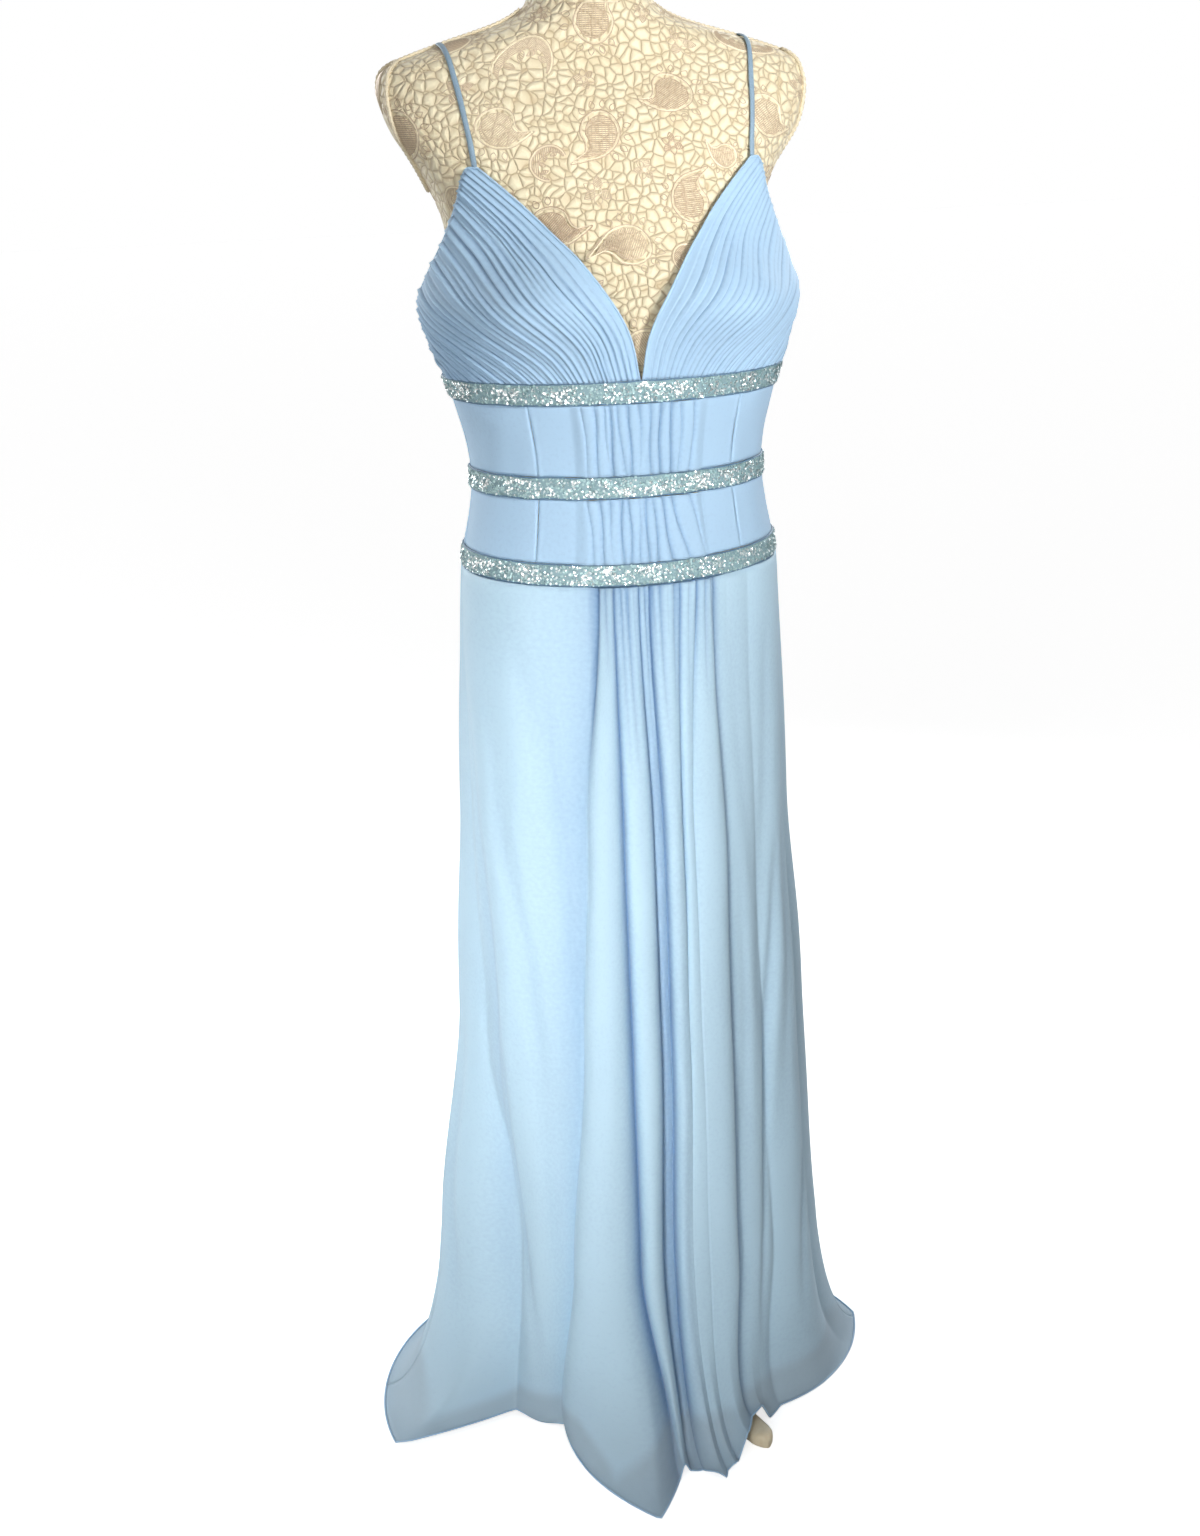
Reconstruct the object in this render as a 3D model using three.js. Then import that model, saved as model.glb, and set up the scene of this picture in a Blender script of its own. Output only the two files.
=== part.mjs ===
// A floor-length chiffon ball gown with pleated cups, gathered midriff and beaded bands, on a dress form.
// Millimetres, +Z up, the gown faces -Y. Angles are degrees round the pole from the centre front towards +X.
import * as THREE from 'three';

// Seams and cloth
const SEAM = 0.3;
const BODICE_WALL = 1.6;
const CHIFFON_WALL = 1.2;
const LINING_WALL = 1;
const SIDE_SEAM = 90;
const PRINCESS_SEAM = 48;
const CENTRE_BACK = 180;

// Beaded bands: each stands out from the panels and dips a little at the front
const BAND_HEIGHT = 21;
const BAND_RISE = 1.6;
const BAND_COLUMNS = 56;
const bands = {
  top: { centre: 1080, dip: 0 },
  middle: { centre: 992, dip: 1 },
  bottom: { centre: 915, dip: 6 },
};

// Cups
const PLEATS = 32;
const PLEAT_HEIGHT = 2.2;
const PLAIN_EDGE = 0.03;
const CUP_BOTTOM = bands.top.centre + BAND_HEIGHT / 2 + SEAM;
const CUP_TOP = 1282;
const CUP_INNER_COLUMNS = 16;
const CUP_CENTRE_GAP = 0.4;
const CUP_SIDE = 86.5;
const CUP_FAN = 0.75;
const BUST = { angle: 36, z: 1162, rise: 38, wide: 24, high: 45 };
const CUP_ROWS = [0, 0.14, 0.3, 0.5, 0.7, 0.86, 1];

// Gathers in the midriff and at the top of the skirt
const GATHERED = 26;
const GATHERS = 11;
const GATHER_HEIGHT = 2.8;
const GATHER_WANDER = { angle: 0.6, step: 2.4 };
const GATHER_UNEVEN = { share: 0.2, step: 1.7 };
const GATHER_ENDS = 0.55;
const SKIRT_GATHER_HEIGHT = 3;
const SKIRT_GATHER_END = 790;

// Straps
const STRAP_WIDTH = 6.5;
const STRAP_THICK = 2.4;
const STRAP_LIFT = 0.8;
const STRAP_STEPS = 33;
const STRAP_ENDS = { front: 2.2, back: 4.2, within: 0.06 };
const STRAP_SIDES = 8;
const STRAP_CENTRE = { y: 45, z: 1270 };

// Skirt hem
const FLARE_HEIGHT = 140;
const HEM_LIFT = 1.2;
const OVER_FOOT = { lift: 23, half: 9.5, slope: 4 };
const LINING_GAP = 2.6;
const LINING_FOLLOW = 0.35;
const LINING_IN = 6;
const LINING_COLUMNS = 1.6;
const LINING_HEM = 42;
const LINING_TURN_OUT = { share: 0.6, within: 60 };
const SEAM_MARGIN = 0.12;

// Zip
const ZIP_HALF = 1.5;
const ZIP_END = 800;
const TAPE_THICK = 1.2;
const TAPE_STAND = 0.4;
const TAPE_STEPS = 14;
const TAPE_BELOW_EDGE = 2;
const BACK_TOP = { side: 1162, centre: 1138, fall: 1.4 };
const SLIDER = { wide: 5, thick: 2.6, long: 9, stand: 1.6 };
const PULL = { top: 1125, length: 20, wide: 6, thick: 1.4, stand: 4.6, neck: 0.45 };

// Dress form and stand
const FORM_COLUMNS = 36;
const FORM_REACH = 400;
const CLOSE_ENOUGH = 0.01;
const FORM_BUST = { angle: 36, z: 1162, rise: 26, wide: 24, high: 42 };
const POLE = { radius: 13, low: 150.3, high: 739.7, sides: 24 };
const HUB = { radius: 34, low: 92, high: 150, chamfer: 6, shoulder: 8 };
const LEG = { count: 3, first: 20.5, tip: 232 };

const rad = THREE.MathUtils.degToRad;
const mix = THREE.MathUtils.lerp;

// The form, from the hips up to the neck
const form = [
  { z: 740, half: 140, front: 96, back: 112, centre: 6, square: 2.2 },
  { z: 762, half: 150, front: 106, back: 125, centre: 6, square: 2.1 },
  { z: 800, half: 152, front: 111, back: 130, centre: 5, square: 2.05 },
  { z: 860, half: 150.5, front: 111, back: 122.5, centre: 5, square: 2.05 },
  { z: 900, half: 149, front: 111.5, back: 112, centre: 4, square: 2.05 },
  { z: 925, half: 147.5, front: 111.5, back: 105, centre: 3, square: 2.05 },
  { z: 955, half: 144, front: 109.5, back: 99.5, centre: 2, square: 2.05 },
  { z: 992, half: 140, front: 105.5, back: 94.5, centre: 2, square: 2.05 },
  { z: 1025, half: 143, front: 107.5, back: 95.5, centre: 2, square: 2.05 },
  { z: 1060, half: 151.5, front: 113, back: 98, centre: 3, square: 2.05 },
  { z: 1091, half: 157, front: 115, back: 101, centre: 5, square: 2.05 },
  { z: 1125, half: 158, front: 114, back: 104, centre: 9, square: 2.05 },
  { z: 1160, half: 155, front: 110, back: 106, centre: 14, square: 2.1 },
  { z: 1210, half: 152, front: 103, back: 106, centre: 23, square: 2.2 },
  { z: 1250, half: 160, front: 95, back: 104, centre: 31, square: 2.3 },
  { z: 1284, half: 178, front: 86, back: 100, centre: 38, square: 2.5 },
  { z: 1310, half: 195, front: 82, back: 96, centre: 44, square: 2.5 },
  { z: 1335, half: 205, front: 75, back: 88, centre: 50, square: 2.5 },
  { z: 1355, half: 208, front: 68, back: 78, centre: 55, square: 2.4 },
  { z: 1373, half: 196, front: 62, back: 70, centre: 58, square: 2.3 },
  { z: 1390, half: 149, front: 60, back: 66, centre: 60, square: 2.2 },
  { z: 1408, half: 90, front: 62, back: 64, centre: 62, square: 2.1 },
  { z: 1422, half: 65, front: 61, back: 62, centre: 62, square: 2 },
  { z: 1440, half: 57.5, front: 57, back: 58, centre: 62, square: 2 },
  { z: 1470, half: 55, front: 55, back: 56, centre: 62, square: 2 },
];

// The outside of the bodice panels, before the cups are filled out
const bodice = [
  { z: 895, half: 157, front: 121, back: 122, centre: 4, square: 2.05 },
  { z: 925, half: 154, front: 118.5, back: 112, centre: 3, square: 2.05 },
  { z: 955, half: 148, front: 114, back: 104, centre: 2, square: 2.05 },
  { z: 992, half: 144, front: 110, back: 99, centre: 2, square: 2.05 },
  { z: 1025, half: 147, front: 112, back: 100, centre: 2, square: 2.05 },
  { z: 1060, half: 156, front: 118, back: 103, centre: 3, square: 2.05 },
  { z: 1091, half: 166, front: 122, back: 106, centre: 5, square: 2.05 },
  { z: 1135, half: 181, front: 123, back: 111, centre: 10, square: 2.05 },
  { z: 1160, half: 185, front: 120, back: 113, centre: 14, square: 2.05 },
  { z: 1185, half: 179, front: 114, back: 114, centre: 19, square: 2.05 },
  { z: 1215, half: 172, front: 108, back: 112, centre: 24, square: 2.1 },
  { z: 1250, half: 167, front: 102, back: 110, centre: 31, square: 2.3 },
  { z: 1284, half: 170, front: 98, back: 106, centre: 38, square: 2.5 },
];

// The skirt in the troughs between its folds
const skirt = [
  { z: 0, half: 187, front: 162, back: 171, centre: 0, square: 2 },
  { z: 140, half: 181, front: 156, back: 165, centre: 0, square: 2 },
  { z: 200, half: 177, front: 152, back: 161, centre: 0, square: 2 },
  { z: 300, half: 172, front: 147, back: 156, centre: 0, square: 2 },
  { z: 400, half: 168.5, front: 142, back: 152, centre: 1, square: 2 },
  { z: 500, half: 166, front: 137, back: 149, centre: 2, square: 2 },
  { z: 600, half: 163, front: 131, back: 146, centre: 3, square: 2 },
  { z: 700, half: 161, front: 126, back: 143, centre: 4, square: 2 },
  { z: 800, half: 160, front: 122, back: 139, centre: 5, square: 2 },
  { z: 860, half: 158.5, front: 121, back: 132, centre: 5, square: 2.05 },
  { z: 895, half: 157, front: 121, back: 122, centre: 4, square: 2.05 },
  { z: 925, half: 154, front: 118.5, back: 112, centre: 3, square: 2.05 },
];

// Neck edge of a cup, from the point of the V to the strap
const neckEdge = [
  { z: CUP_BOTTOM, angle: CUP_CENTRE_GAP },
  { z: 1130, angle: 3.8 },
  { z: 1165, angle: 11.3 },
  { z: 1200, angle: 22.6 },
  { z: 1227, angle: 36 },
  { z: 1255, angle: 49 },
  { z: CUP_TOP, angle: 60.2 },
];

// Edge of a cup from the strap, under the arm and down the side seam
const armEdge = [
  { along: 0, angle: 60.2, z: CUP_TOP },
  { along: 0.05, angle: 64.5, z: 1281 },
  { along: 0.2, angle: 70, z: 1252 },
  { along: 0.33, angle: 77, z: 1215 },
  { along: 0.45, angle: 84, z: 1185 },
  { along: 0.58, angle: 89.4, z: 1162 },
  { along: 0.75, angle: 89.8, z: 1137 },
  { along: 1, angle: 89.8, z: 1098 },
];

// The strap lies on the form from the cup, over the shoulder and down to the edge of the back
const strapLine = [
  { turn: 9.15, x: 130.5 },
  { turn: 55, x: 139 },
  { turn: 97, x: 146 },
  { turn: 140, x: 128 },
  { turn: 190, x: 103 },
  { turn: 245.8, x: 84 },
];

// A leg from the hub out to its toe: height of its middle, thickness and width. Its flat end is on the floor.
const LEG_CORNERS = [
  [-1, -0.6], [-0.7, -1], [0.7, -1], [1, -0.6],
  [1, 0.6], [0.7, 1], [-0.7, 1], [-1, 0.6],
];
const legLine = [
  { out: HUB.radius + SEAM, z: 122, thick: 34, wide: 26 },
  { out: 60, z: 108, thick: 30, wide: 26 },
  { out: 95, z: 74, thick: 26, wide: 26 },
  { out: 130, z: 42, thick: 22, wide: 26 },
  { out: 165, z: 21, thick: 19, wide: 26 },
  { out: 195, z: 9, thick: 18, wide: 26, flat: true },
  { out: 220, z: 8, thick: 16, wide: 26, flat: true },
  { out: LEG.tip - 3, z: 7, thick: 14, wide: 20.8, flat: true },
  { out: LEG.tip, z: 4.5, thick: 9, wide: 11.7, flat: true },
];

// Each fold of the skirt runs from its own edge to the next fold's edge. Edge angles and the height of the
// crest are given at the levels below. Pipe is how square the fold is. The hem lies out to `notch` at the
// edge and to `reach` at its tip, a share of the way across, and it hangs `lift` above the floor at the edge.
const FOLD_LEVELS = [900, 650, 430, 200, 20];
const folds = [
  {
    edge: [-180, -180, -180, -180, -180], rise: [5, 12, 18, 26, 30],
    pipe: 1.1, notch: 240, reach: 285, tip: 0.5, lift: 0, columns: 6,
  },
  {
    edge: [-152, -152, -152, -152, -152], rise: [5, 13, 20, 28, 32],
    pipe: 1.1, notch: 238, reach: 275, tip: 0.5, lift: 0, columns: 6,
  },
  {
    edge: [-122, -122, -122, -120, -118], rise: [3, 12, 18, 40, 46],
    pipe: 0.9, notch: 256, reach: 317, tip: 0.88, lift: 0, columns: 8,
  },
  {
    edge: [-92, -88, -79, -60, -61], rise: [3, 9, 13, 15, 14],
    pipe: 0.8, notch: 186, reach: 180, tip: 0.4, lift: 5, columns: 7,
  },
  {
    edge: [-21, -28.6, -31.5, -36.5, -42], rise: [6, 17, 24, 33, 40],
    pipe: 0.6, notch: 174, reach: 309, tip: 0.86, lift: 4, columns: 7,
  },
  {
    edge: [-15, -13.8, -13, -12.5, -5], rise: [6, 15, 20, 26, 28],
    pipe: 0.6, notch: 250, reach: 240, tip: 0.5, lift: 0, columns: 6,
  },
  {
    edge: [-4, -1, -1.5, -4, -1.5], rise: [4, 3, 3, 3, 5],
    pipe: 1, notch: 236, reach: 238, tip: 0.5, lift: 0, columns: 3,
  },
  {
    edge: [0.5, 3.5, 2.8, 0.5, 1.5], rise: [6, 14, 18, 20, 22],
    pipe: 0.6, notch: 238, reach: 262, tip: 0.7, lift: 0, columns: 5,
  },
  {
    edge: [14.5, 11.5, 9, 6, 7], rise: [5, 9, 12, 15, 16],
    pipe: 0.7, notch: 246, reach: 247, tip: 0.5, lift: 0, columns: 4,
  },
  {
    edge: [22, 16, 13.7, 12, 11], rise: [6, 14, 18, 21, 20],
    pipe: 0.6, notch: 236, reach: 226, tip: 0.5, lift: 0, columns: 6,
  },
  {
    edge: [30, 31.5, 28.3, 25.5, 20], rise: [2, 3, 5, 7, 8],
    pipe: 1, notch: 206, reach: 197, tip: 0.35, lift: 8, columns: 5,
  },
  {
    edge: [50, 50, 48, 46, 37], rise: [3, 7, 12, 15, 18],
    pipe: 0.9, notch: 190, reach: 215, tip: 0.6, lift: 2, columns: 7,
  },
  {
    edge: [78, 78, 76, 74, 76], rise: [5, 11, 20, 20, 22],
    pipe: 0.9, notch: 232, reach: 247, tip: 0.4, lift: 0, columns: 6,
  },
  {
    edge: [112, 112, 112, 113, 114], rise: [4, 11, 17, 24, 28],
    pipe: 1.1, notch: 230, reach: 284, tip: 0.6, lift: 0, columns: 6,
  },
  {
    edge: [146, 146, 147, 147, 148], rise: [5, 12, 18, 26, 30],
    pipe: 1.1, notch: 246, reach: 275, tip: 0.5, lift: 0, columns: 6,
  },
  {
    edge: [180, 180, 180, 180, 180], rise: [5, 12, 18, 26, 30],
    pipe: 1.1, notch: 240, reach: 285, tip: 0.5, lift: 0, columns: 6,
  },
];
const GATHERED_FOLDS = { first: 4, last: 9 };
const LEFT_SEAM = 2.5;
const RIGHT_SEAM = 12.35;

// Heights of the rows of the skirt and its lining, and how far round the turn on to the floor the last ones are
const SKIRT_ROWS = [880, 845, 800, 740, 660, 560, 460, 360, 250, FLARE_HEIGHT];
const SKIRT_TURN = [0.25, 0.5, 0.75, 1];
const LINING_ROWS = [880, 845, 800, 700, 560, 400, 250, FLARE_HEIGHT];
const LINING_TURN = [0.5, 1];

const clothBlue = new THREE.MeshStandardMaterial({ color: 0xb4d0ef, roughness: 0.75, metalness: 0 });
const liningBlue = new THREE.MeshStandardMaterial({ color: 0x9fc4ee, roughness: 0.5, metalness: 0 });
const bandSilver = new THREE.MeshStandardMaterial({ color: 0xa9c4c8, roughness: 0.3, metalness: 0.4 });
const formCover = new THREE.MeshStandardMaterial({ color: 0xe6d9b4, roughness: 0.8, metalness: 0 });
const paleWood = new THREE.MeshStandardMaterial({ color: 0xe8d6ae, roughness: 0.6, metalness: 0 });
const zipMetal = new THREE.MeshStandardMaterial({ color: 0xb9cbe0, roughness: 0.35, metalness: 0.6 });

// A smooth value between the rows of a table whose column `by` rises
function read(table, name, at, by = 'z') {
  const last = table.length - 1;
  if (at <= table[0][by]) return table[0][name];
  if (at >= table[last][by]) return table[last][name];
  let i = 0;
  while (table[i + 1][by] < at) i += 1;
  const slope = (k) => {
    const a = table[Math.max(k - 1, 0)];
    const b = table[Math.min(k + 1, last)];
    return (b[name] - a[name]) / (b[by] - a[by]);
  };
  const span = table[i + 1][by] - table[i][by];
  const t = (at - table[i][by]) / span;
  const start = table[i][name] * (1 + 2 * t) * (1 - t) ** 2 + slope(i) * span * t * (1 - t) ** 2;
  const end = table[i + 1][name] * (3 - 2 * t) * t ** 2 - slope(i + 1) * span * (1 - t) * t ** 2;
  return start + end;
}

// A column of five values, one for each fold level, read at a height
function atLevel(values, z) {
  if (z >= FOLD_LEVELS[0]) return values[0];
  const i = Math.min(FOLD_LEVELS.findIndex((level) => z >= level), FOLD_LEVELS.length - 1);
  if (i < 0) return values[values.length - 1];
  const t = (z - FOLD_LEVELS[i]) / (FOLD_LEVELS[i - 1] - FOLD_LEVELS[i]);
  return mix(values[i], values[i - 1], t * t * (3 - 2 * t));
}

// Distance from the section's centre to its outline
function outline(table, angle, z, out = 0) {
  const depth = read(table, Math.cos(angle) > 0 ? 'front' : 'back', z) + out;
  const n = read(table, 'square', z);
  const across = Math.abs(Math.sin(angle)) / (read(table, 'half', z) + out);
  const along = Math.abs(Math.cos(angle)) / depth;
  return (across ** n + along ** n) ** (-1 / n);
}

function mound(shape, angle, z) {
  const side = Math.abs(THREE.MathUtils.radToDeg(angle)) - shape.angle;
  return shape.rise * Math.exp(-((side / shape.wide) ** 2) - ((z - shape.z) / shape.high) ** 2);
}

function around(angle, r, z, centre) {
  return new THREE.Vector3(r * Math.sin(angle), centre - r * Math.cos(angle), z);
}

function formPoint(angle, z, out = 0) {
  const r = outline(form, angle, z, out) + mound(FORM_BUST, angle, z);
  return around(angle, r, z, read(form, 'centre', z));
}

function bodicePoint(angle, z, out = 0) {
  const r = outline(bodice, angle, z, out) + mound(BUST, angle, z);
  return around(angle, r, z, read(bodice, 'centre', z));
}

// Solids are sewn from grids of points: grid[column][row], columns round the body and rows upwards
function sew(name, material, vertices, triangles) {
  const geometry = new THREE.BufferGeometry();
  geometry.setAttribute('position', new THREE.Float32BufferAttribute(vertices, 3));
  geometry.setIndex(triangles);
  geometry.computeVertexNormals();
  const mesh = new THREE.Mesh(geometry, material);
  mesh.name = name;
  return mesh;
}

// A closed wall between an outer and an inner grid, whose columns may be fewer.
// A ring joins its last column to its first.
function wall(name, material, outer, inner, ring = false) {
  const vertices = [];
  const triangles = [];
  const number = (grid) => grid.map((column) => column.map((p) => vertices.push(p.x, p.y, p.z) / 3 - 1));
  const out = number(outer);
  const back = number(inner);
  const faces = (grid, flip) => {
    const columns = ring ? grid.length : grid.length - 1;
    for (let i = 0; i < columns; i += 1) {
      const next = grid[(i + 1) % grid.length];
      for (let j = 0; j < grid[i].length - 1; j += 1) {
        const [a, b, c, d] = [grid[i][j], next[j], next[j + 1], grid[i][j + 1]];
        if (flip) triangles.push(a, c, b, a, d, c);
        else triangles.push(a, b, c, a, c, d);
      }
    }
  };
  faces(out, false);
  faces(back, true);
  // Closes one edge: walks along both lines of points, always moving on the one that lags
  const rim = (line, other) => {
    let i = 0;
    let j = 0;
    while (i < line.length - 1 || j < other.length - 1) {
      const outerNext = (i + 1) / (line.length - 1);
      const innerNext = (j + 1) / (other.length - 1);
      if (j === other.length - 1 || (i < line.length - 1 && outerNext <= innerNext)) {
        triangles.push(line[i + 1], line[i], other[j]);
        i += 1;
      } else {
        triangles.push(line[i], other[j], other[j + 1]);
        j += 1;
      }
    }
  };
  const row = (grid, j) => {
    const line = grid.map((column) => column.at(j));
    return ring ? [...line, line[0]] : line;
  };
  rim(row(out, 0), row(back, 0));
  rim(row(out, -1).reverse(), row(back, -1).reverse());
  if (!ring) {
    rim([...out.at(-1)], [...back.at(-1)]);
    rim([...out[0]].reverse(), [...back[0]].reverse());
  }
  return sew(name, material, vertices, triangles);
}

// A closed solid through rings of points, each counter-clockwise seen from the last ring
function loft(name, material, rings) {
  const vertices = rings.flat().flatMap((p) => [p.x, p.y, p.z]);
  const count = rings[0].length;
  const triangles = [];
  for (let j = 0; j < rings.length - 1; j += 1) {
    for (let i = 0; i < count; i += 1) {
      const a = j * count + i;
      const b = j * count + ((i + 1) % count);
      triangles.push(a, b, b + count, a, b + count, a + count);
    }
  }
  const cap = (ring, start, flip) => {
    const middle = vertices.length / 3;
    const centre = ring.reduce((sum, p) => sum.add(p), new THREE.Vector3()).divideScalar(count);
    vertices.push(centre.x, centre.y, centre.z);
    for (let i = 0; i < count; i += 1) {
      const [a, b] = [start + i, start + ((i + 1) % count)];
      if (flip) triangles.push(middle, b, a);
      else triangles.push(middle, a, b);
    }
  };
  cap(rings[0], 0, true);
  cap(rings.at(-1), (rings.length - 1) * count, false);
  return sew(name, material, vertices, triangles);
}

// The same grid moved along its own normals, kept above the floor
function inset(grid, depth, ring = false) {
  const count = grid.length;
  const at = (i, j) => {
    const column = ring ? (i + count) % count : THREE.MathUtils.clamp(i, 0, count - 1);
    return grid[column][THREE.MathUtils.clamp(j, 0, grid[0].length - 1)];
  };
  return grid.map((column, i) => column.map((p, j) => {
    const round = at(i + 1, j).clone().sub(at(i - 1, j));
    const up = at(i, j + 1).clone().sub(at(i, j - 1));
    const moved = p.clone().addScaledVector(round.cross(up).normalize(), -depth);
    moved.z = Math.max(moved.z, 0);
    return moved;
  }));
}

const steps = (count) => Array.from({ length: count + 1 }, (_, i) => i / count);
const bandEdge = (band, angle, side) => band.centre - band.dip * Math.cos(angle) + (side * BAND_HEIGHT) / 2;

// A bodice panel between two seams, given as angles, and two edges, given as heights at an angle
function bodicePanel(name, panel) {
  const { from, to, low, high, columns, rows = 3, relief = () => 0, gaps = [SEAM / 2, SEAM / 2] } = panel;
  const across = Array.isArray(columns) ? columns : steps(columns).map((t) => mix(from, to, t));
  const grid = (out, bumpy) => across.map((degrees, i) => steps(rows).map((t) => {
    const angle = rad(degrees);
    const z = mix(low(angle), high(angle), t);
    const r = outline(bodice, angle, z);
    const gap = i === 0 ? gaps[0] / r : i === across.length - 1 ? -gaps[1] / r : 0;
    return bodicePoint(angle + gap, z, out + (bumpy ? relief(i, t) : 0));
  }));
  return wall(name, clothBlue, grid(0, true), grid(-BODICE_WALL, false));
}

// The panels of one row of the midriff, between two bands
function midriff(row, lower, upper) {
  const low = (angle) => bandEdge(lower, angle, 1) + SEAM;
  const high = (angle) => bandEdge(upper, angle, -1) - SEAM;
  const plain = (PRINCESS_SEAM - GATHERED) / 3;
  const left = [0, 1, 2].map((i) => -PRINCESS_SEAM + i * plain);
  const gathered = steps(2 * GATHERS).map((t, k) => {
    return mix(-GATHERED, GATHERED, t) + GATHER_WANDER.angle * Math.sin(GATHER_WANDER.step * k);
  });
  const columns = [...left, ...gathered, ...left.map((angle) => -angle).reverse()];
  const relief = (i, t) => {
    const k = i - left.length;
    if (k < 0 || k > 2 * GATHERS || k % 2 === 0) return 0;
    const uneven = 1 - GATHER_UNEVEN.share * (1 - Math.sin(GATHER_UNEVEN.step * k));
    return GATHER_HEIGHT * uneven * mix(GATHER_ENDS, 1, Math.sin(Math.PI * t));
  };
  const sides = [['left', -1], ['right', 1]].flatMap(([side, sign]) => {
    const between = (a, b) => (sign > 0 ? { from: a, to: b } : { from: -b, to: -a });
    const backGaps = sign > 0 ? [SEAM / 2, ZIP_HALF] : [ZIP_HALF, SEAM / 2];
    return [
      bodicePanel(`${row}_side_${side}`, {
        ...between(PRINCESS_SEAM, SIDE_SEAM), low, high, columns: 6, rows: 2,
      }),
      bodicePanel(`${row}_back_${side}`, {
        ...between(SIDE_SEAM, CENTRE_BACK), low, high, columns: 10, rows: 2, gaps: backGaps,
      }),
    ];
  });
  return [bodicePanel(`${row}_front`, { low, high, columns, relief }), ...sides];
}

// A beaded band runs right round the body and stops on each side of the zip
function bandRing(name, band) {
  const grid = (out) => steps(BAND_COLUMNS).map((t, i) => [-1, 1].map((side) => {
    const angle = rad(mix(-CENTRE_BACK, CENTRE_BACK, t));
    const gap = ZIP_HALF / outline(bodice, angle, band.centre);
    const inward = i === 0 ? gap : i === BAND_COLUMNS ? -gap : 0;
    return bodicePoint(angle + inward, bandEdge(band, angle, side), out);
  }));
  return wall(name, bandSilver, grid(BAND_RISE), grid(-BODICE_WALL));
}

// A point of a cup: `along` goes from the neck edge to the side seam, `up` along a pleat from band to arm
function cupPoint(along, up, out, sign) {
  const low = mix(CUP_CENTRE_GAP, CUP_SIDE, along);
  const high = { angle: read(armEdge, 'angle', along, 'along'), z: read(armEdge, 'z', along, 'along') };
  const neck = read(neckEdge, 'angle', mix(CUP_BOTTOM, CUP_TOP, up)) - CUP_CENTRE_GAP;
  const bend = mix(up, neck / (neckEdge.at(-1).angle - CUP_CENTRE_GAP), 1 - CUP_FAN * along);
  const z = mix(CUP_BOTTOM, high.z, up);
  return bodicePoint(sign * rad(mix(low, high.angle, bend)), z, out);
}

function cup(name, sign) {
  const outer = steps(2 * PLEATS).map((along, i) => CUP_ROWS.map((up) => {
    const raised = i % 2 === 1 && along > PLAIN_EDGE;
    return cupPoint(along, up, raised ? PLEAT_HEIGHT : 0, sign);
  }));
  const inner = steps(CUP_INNER_COLUMNS).map((along) => CUP_ROWS.map((up) => {
    return cupPoint(along, up, -BODICE_WALL, sign);
  }));
  if (sign < 0) {
    outer.reverse();
    inner.reverse();
  }
  return wall(name, clothBlue, outer, inner);
}

const backEdge = (angle) => {
  const t = (Math.abs(angle) - rad(SIDE_SEAM)) / rad(CENTRE_BACK - SIDE_SEAM);
  return mix(BACK_TOP.side, BACK_TOP.centre, Math.min(1, t * BACK_TOP.fall));
};

function backTop(side, sign) {
  const low = (angle) => bandEdge(bands.top, angle, 1) + SEAM;
  const span = sign > 0 ? { from: SIDE_SEAM, to: CENTRE_BACK } : { from: -CENTRE_BACK, to: -SIDE_SEAM };
  const gaps = sign > 0 ? [SEAM, ZIP_HALF] : [ZIP_HALF, SEAM];
  return bodicePanel(`top_back_${side}`, { ...span, low, high: backEdge, columns: 12, rows: 4, gaps });
}

// Where a straight line from inside the form leaves it
function leaveForm(start, direction) {
  const inside = (distance) => {
    const p = start.clone().addScaledVector(direction, distance);
    const centre = read(form, 'centre', p.z);
    const angle = Math.atan2(p.x, centre - p.y);
    const r = outline(form, angle, p.z) + mound(FORM_BUST, angle, p.z);
    return p.z < form.at(-1).z && Math.hypot(p.x, p.y - centre) < r;
  };
  let [near, far] = [0, FORM_REACH];
  while (far - near > CLOSE_ENOUGH) {
    const middle = (near + far) / 2;
    if (inside(middle)) near = middle;
    else far = middle;
  }
  return near;
}

// A point of the form's skin under the strap, `aside` from the strap's middle line
function underStrap(t, aside) {
  const turn = mix(strapLine[0].turn, strapLine.at(-1).turn, t);
  const start = new THREE.Vector3(read(strapLine, 'x', turn, 'turn') + aside, STRAP_CENTRE.y, STRAP_CENTRE.z);
  const away = new THREE.Vector3(0, -Math.cos(rad(turn)), Math.sin(rad(turn)));
  return start.addScaledVector(away, leaveForm(start, away));
}

function strap(name, sign) {
  const rings = steps(STRAP_STEPS).map((t) => {
    const [left, right] = [underStrap(t, -STRAP_WIDTH / 2), underStrap(t, STRAP_WIDTH / 2)];
    const across = right.clone().sub(left).normalize();
    const ahead = underStrap(t + 0.01, 0).sub(underStrap(t - 0.01, 0)).normalize();
    const out = across.clone().cross(ahead).normalize();
    const front = STRAP_ENDS.front * Math.max(0, 1 - t / STRAP_ENDS.within);
    const back = STRAP_ENDS.back * Math.max(0, 1 - (1 - t) / STRAP_ENDS.within);
    const lift = STRAP_LIFT + STRAP_THICK / 2 + front + back;
    const middle = underStrap(t, 0).add(left).add(right).divideScalar(3).addScaledVector(out, lift);
    return steps(STRAP_SIDES).slice(1).map((share) => {
      const bend = share * 2 * Math.PI;
      const point = middle.clone().addScaledVector(across, (Math.cos(bend) * STRAP_WIDTH) / 2);
      point.addScaledVector(out, (Math.sin(bend) * STRAP_THICK) / 2);
      return sign > 0 ? point : point.setX(-point.x);
    });
  });
  return loft(name, clothBlue, sign > 0 ? rings.map((ring) => ring.reverse()) : rings);
}

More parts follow.
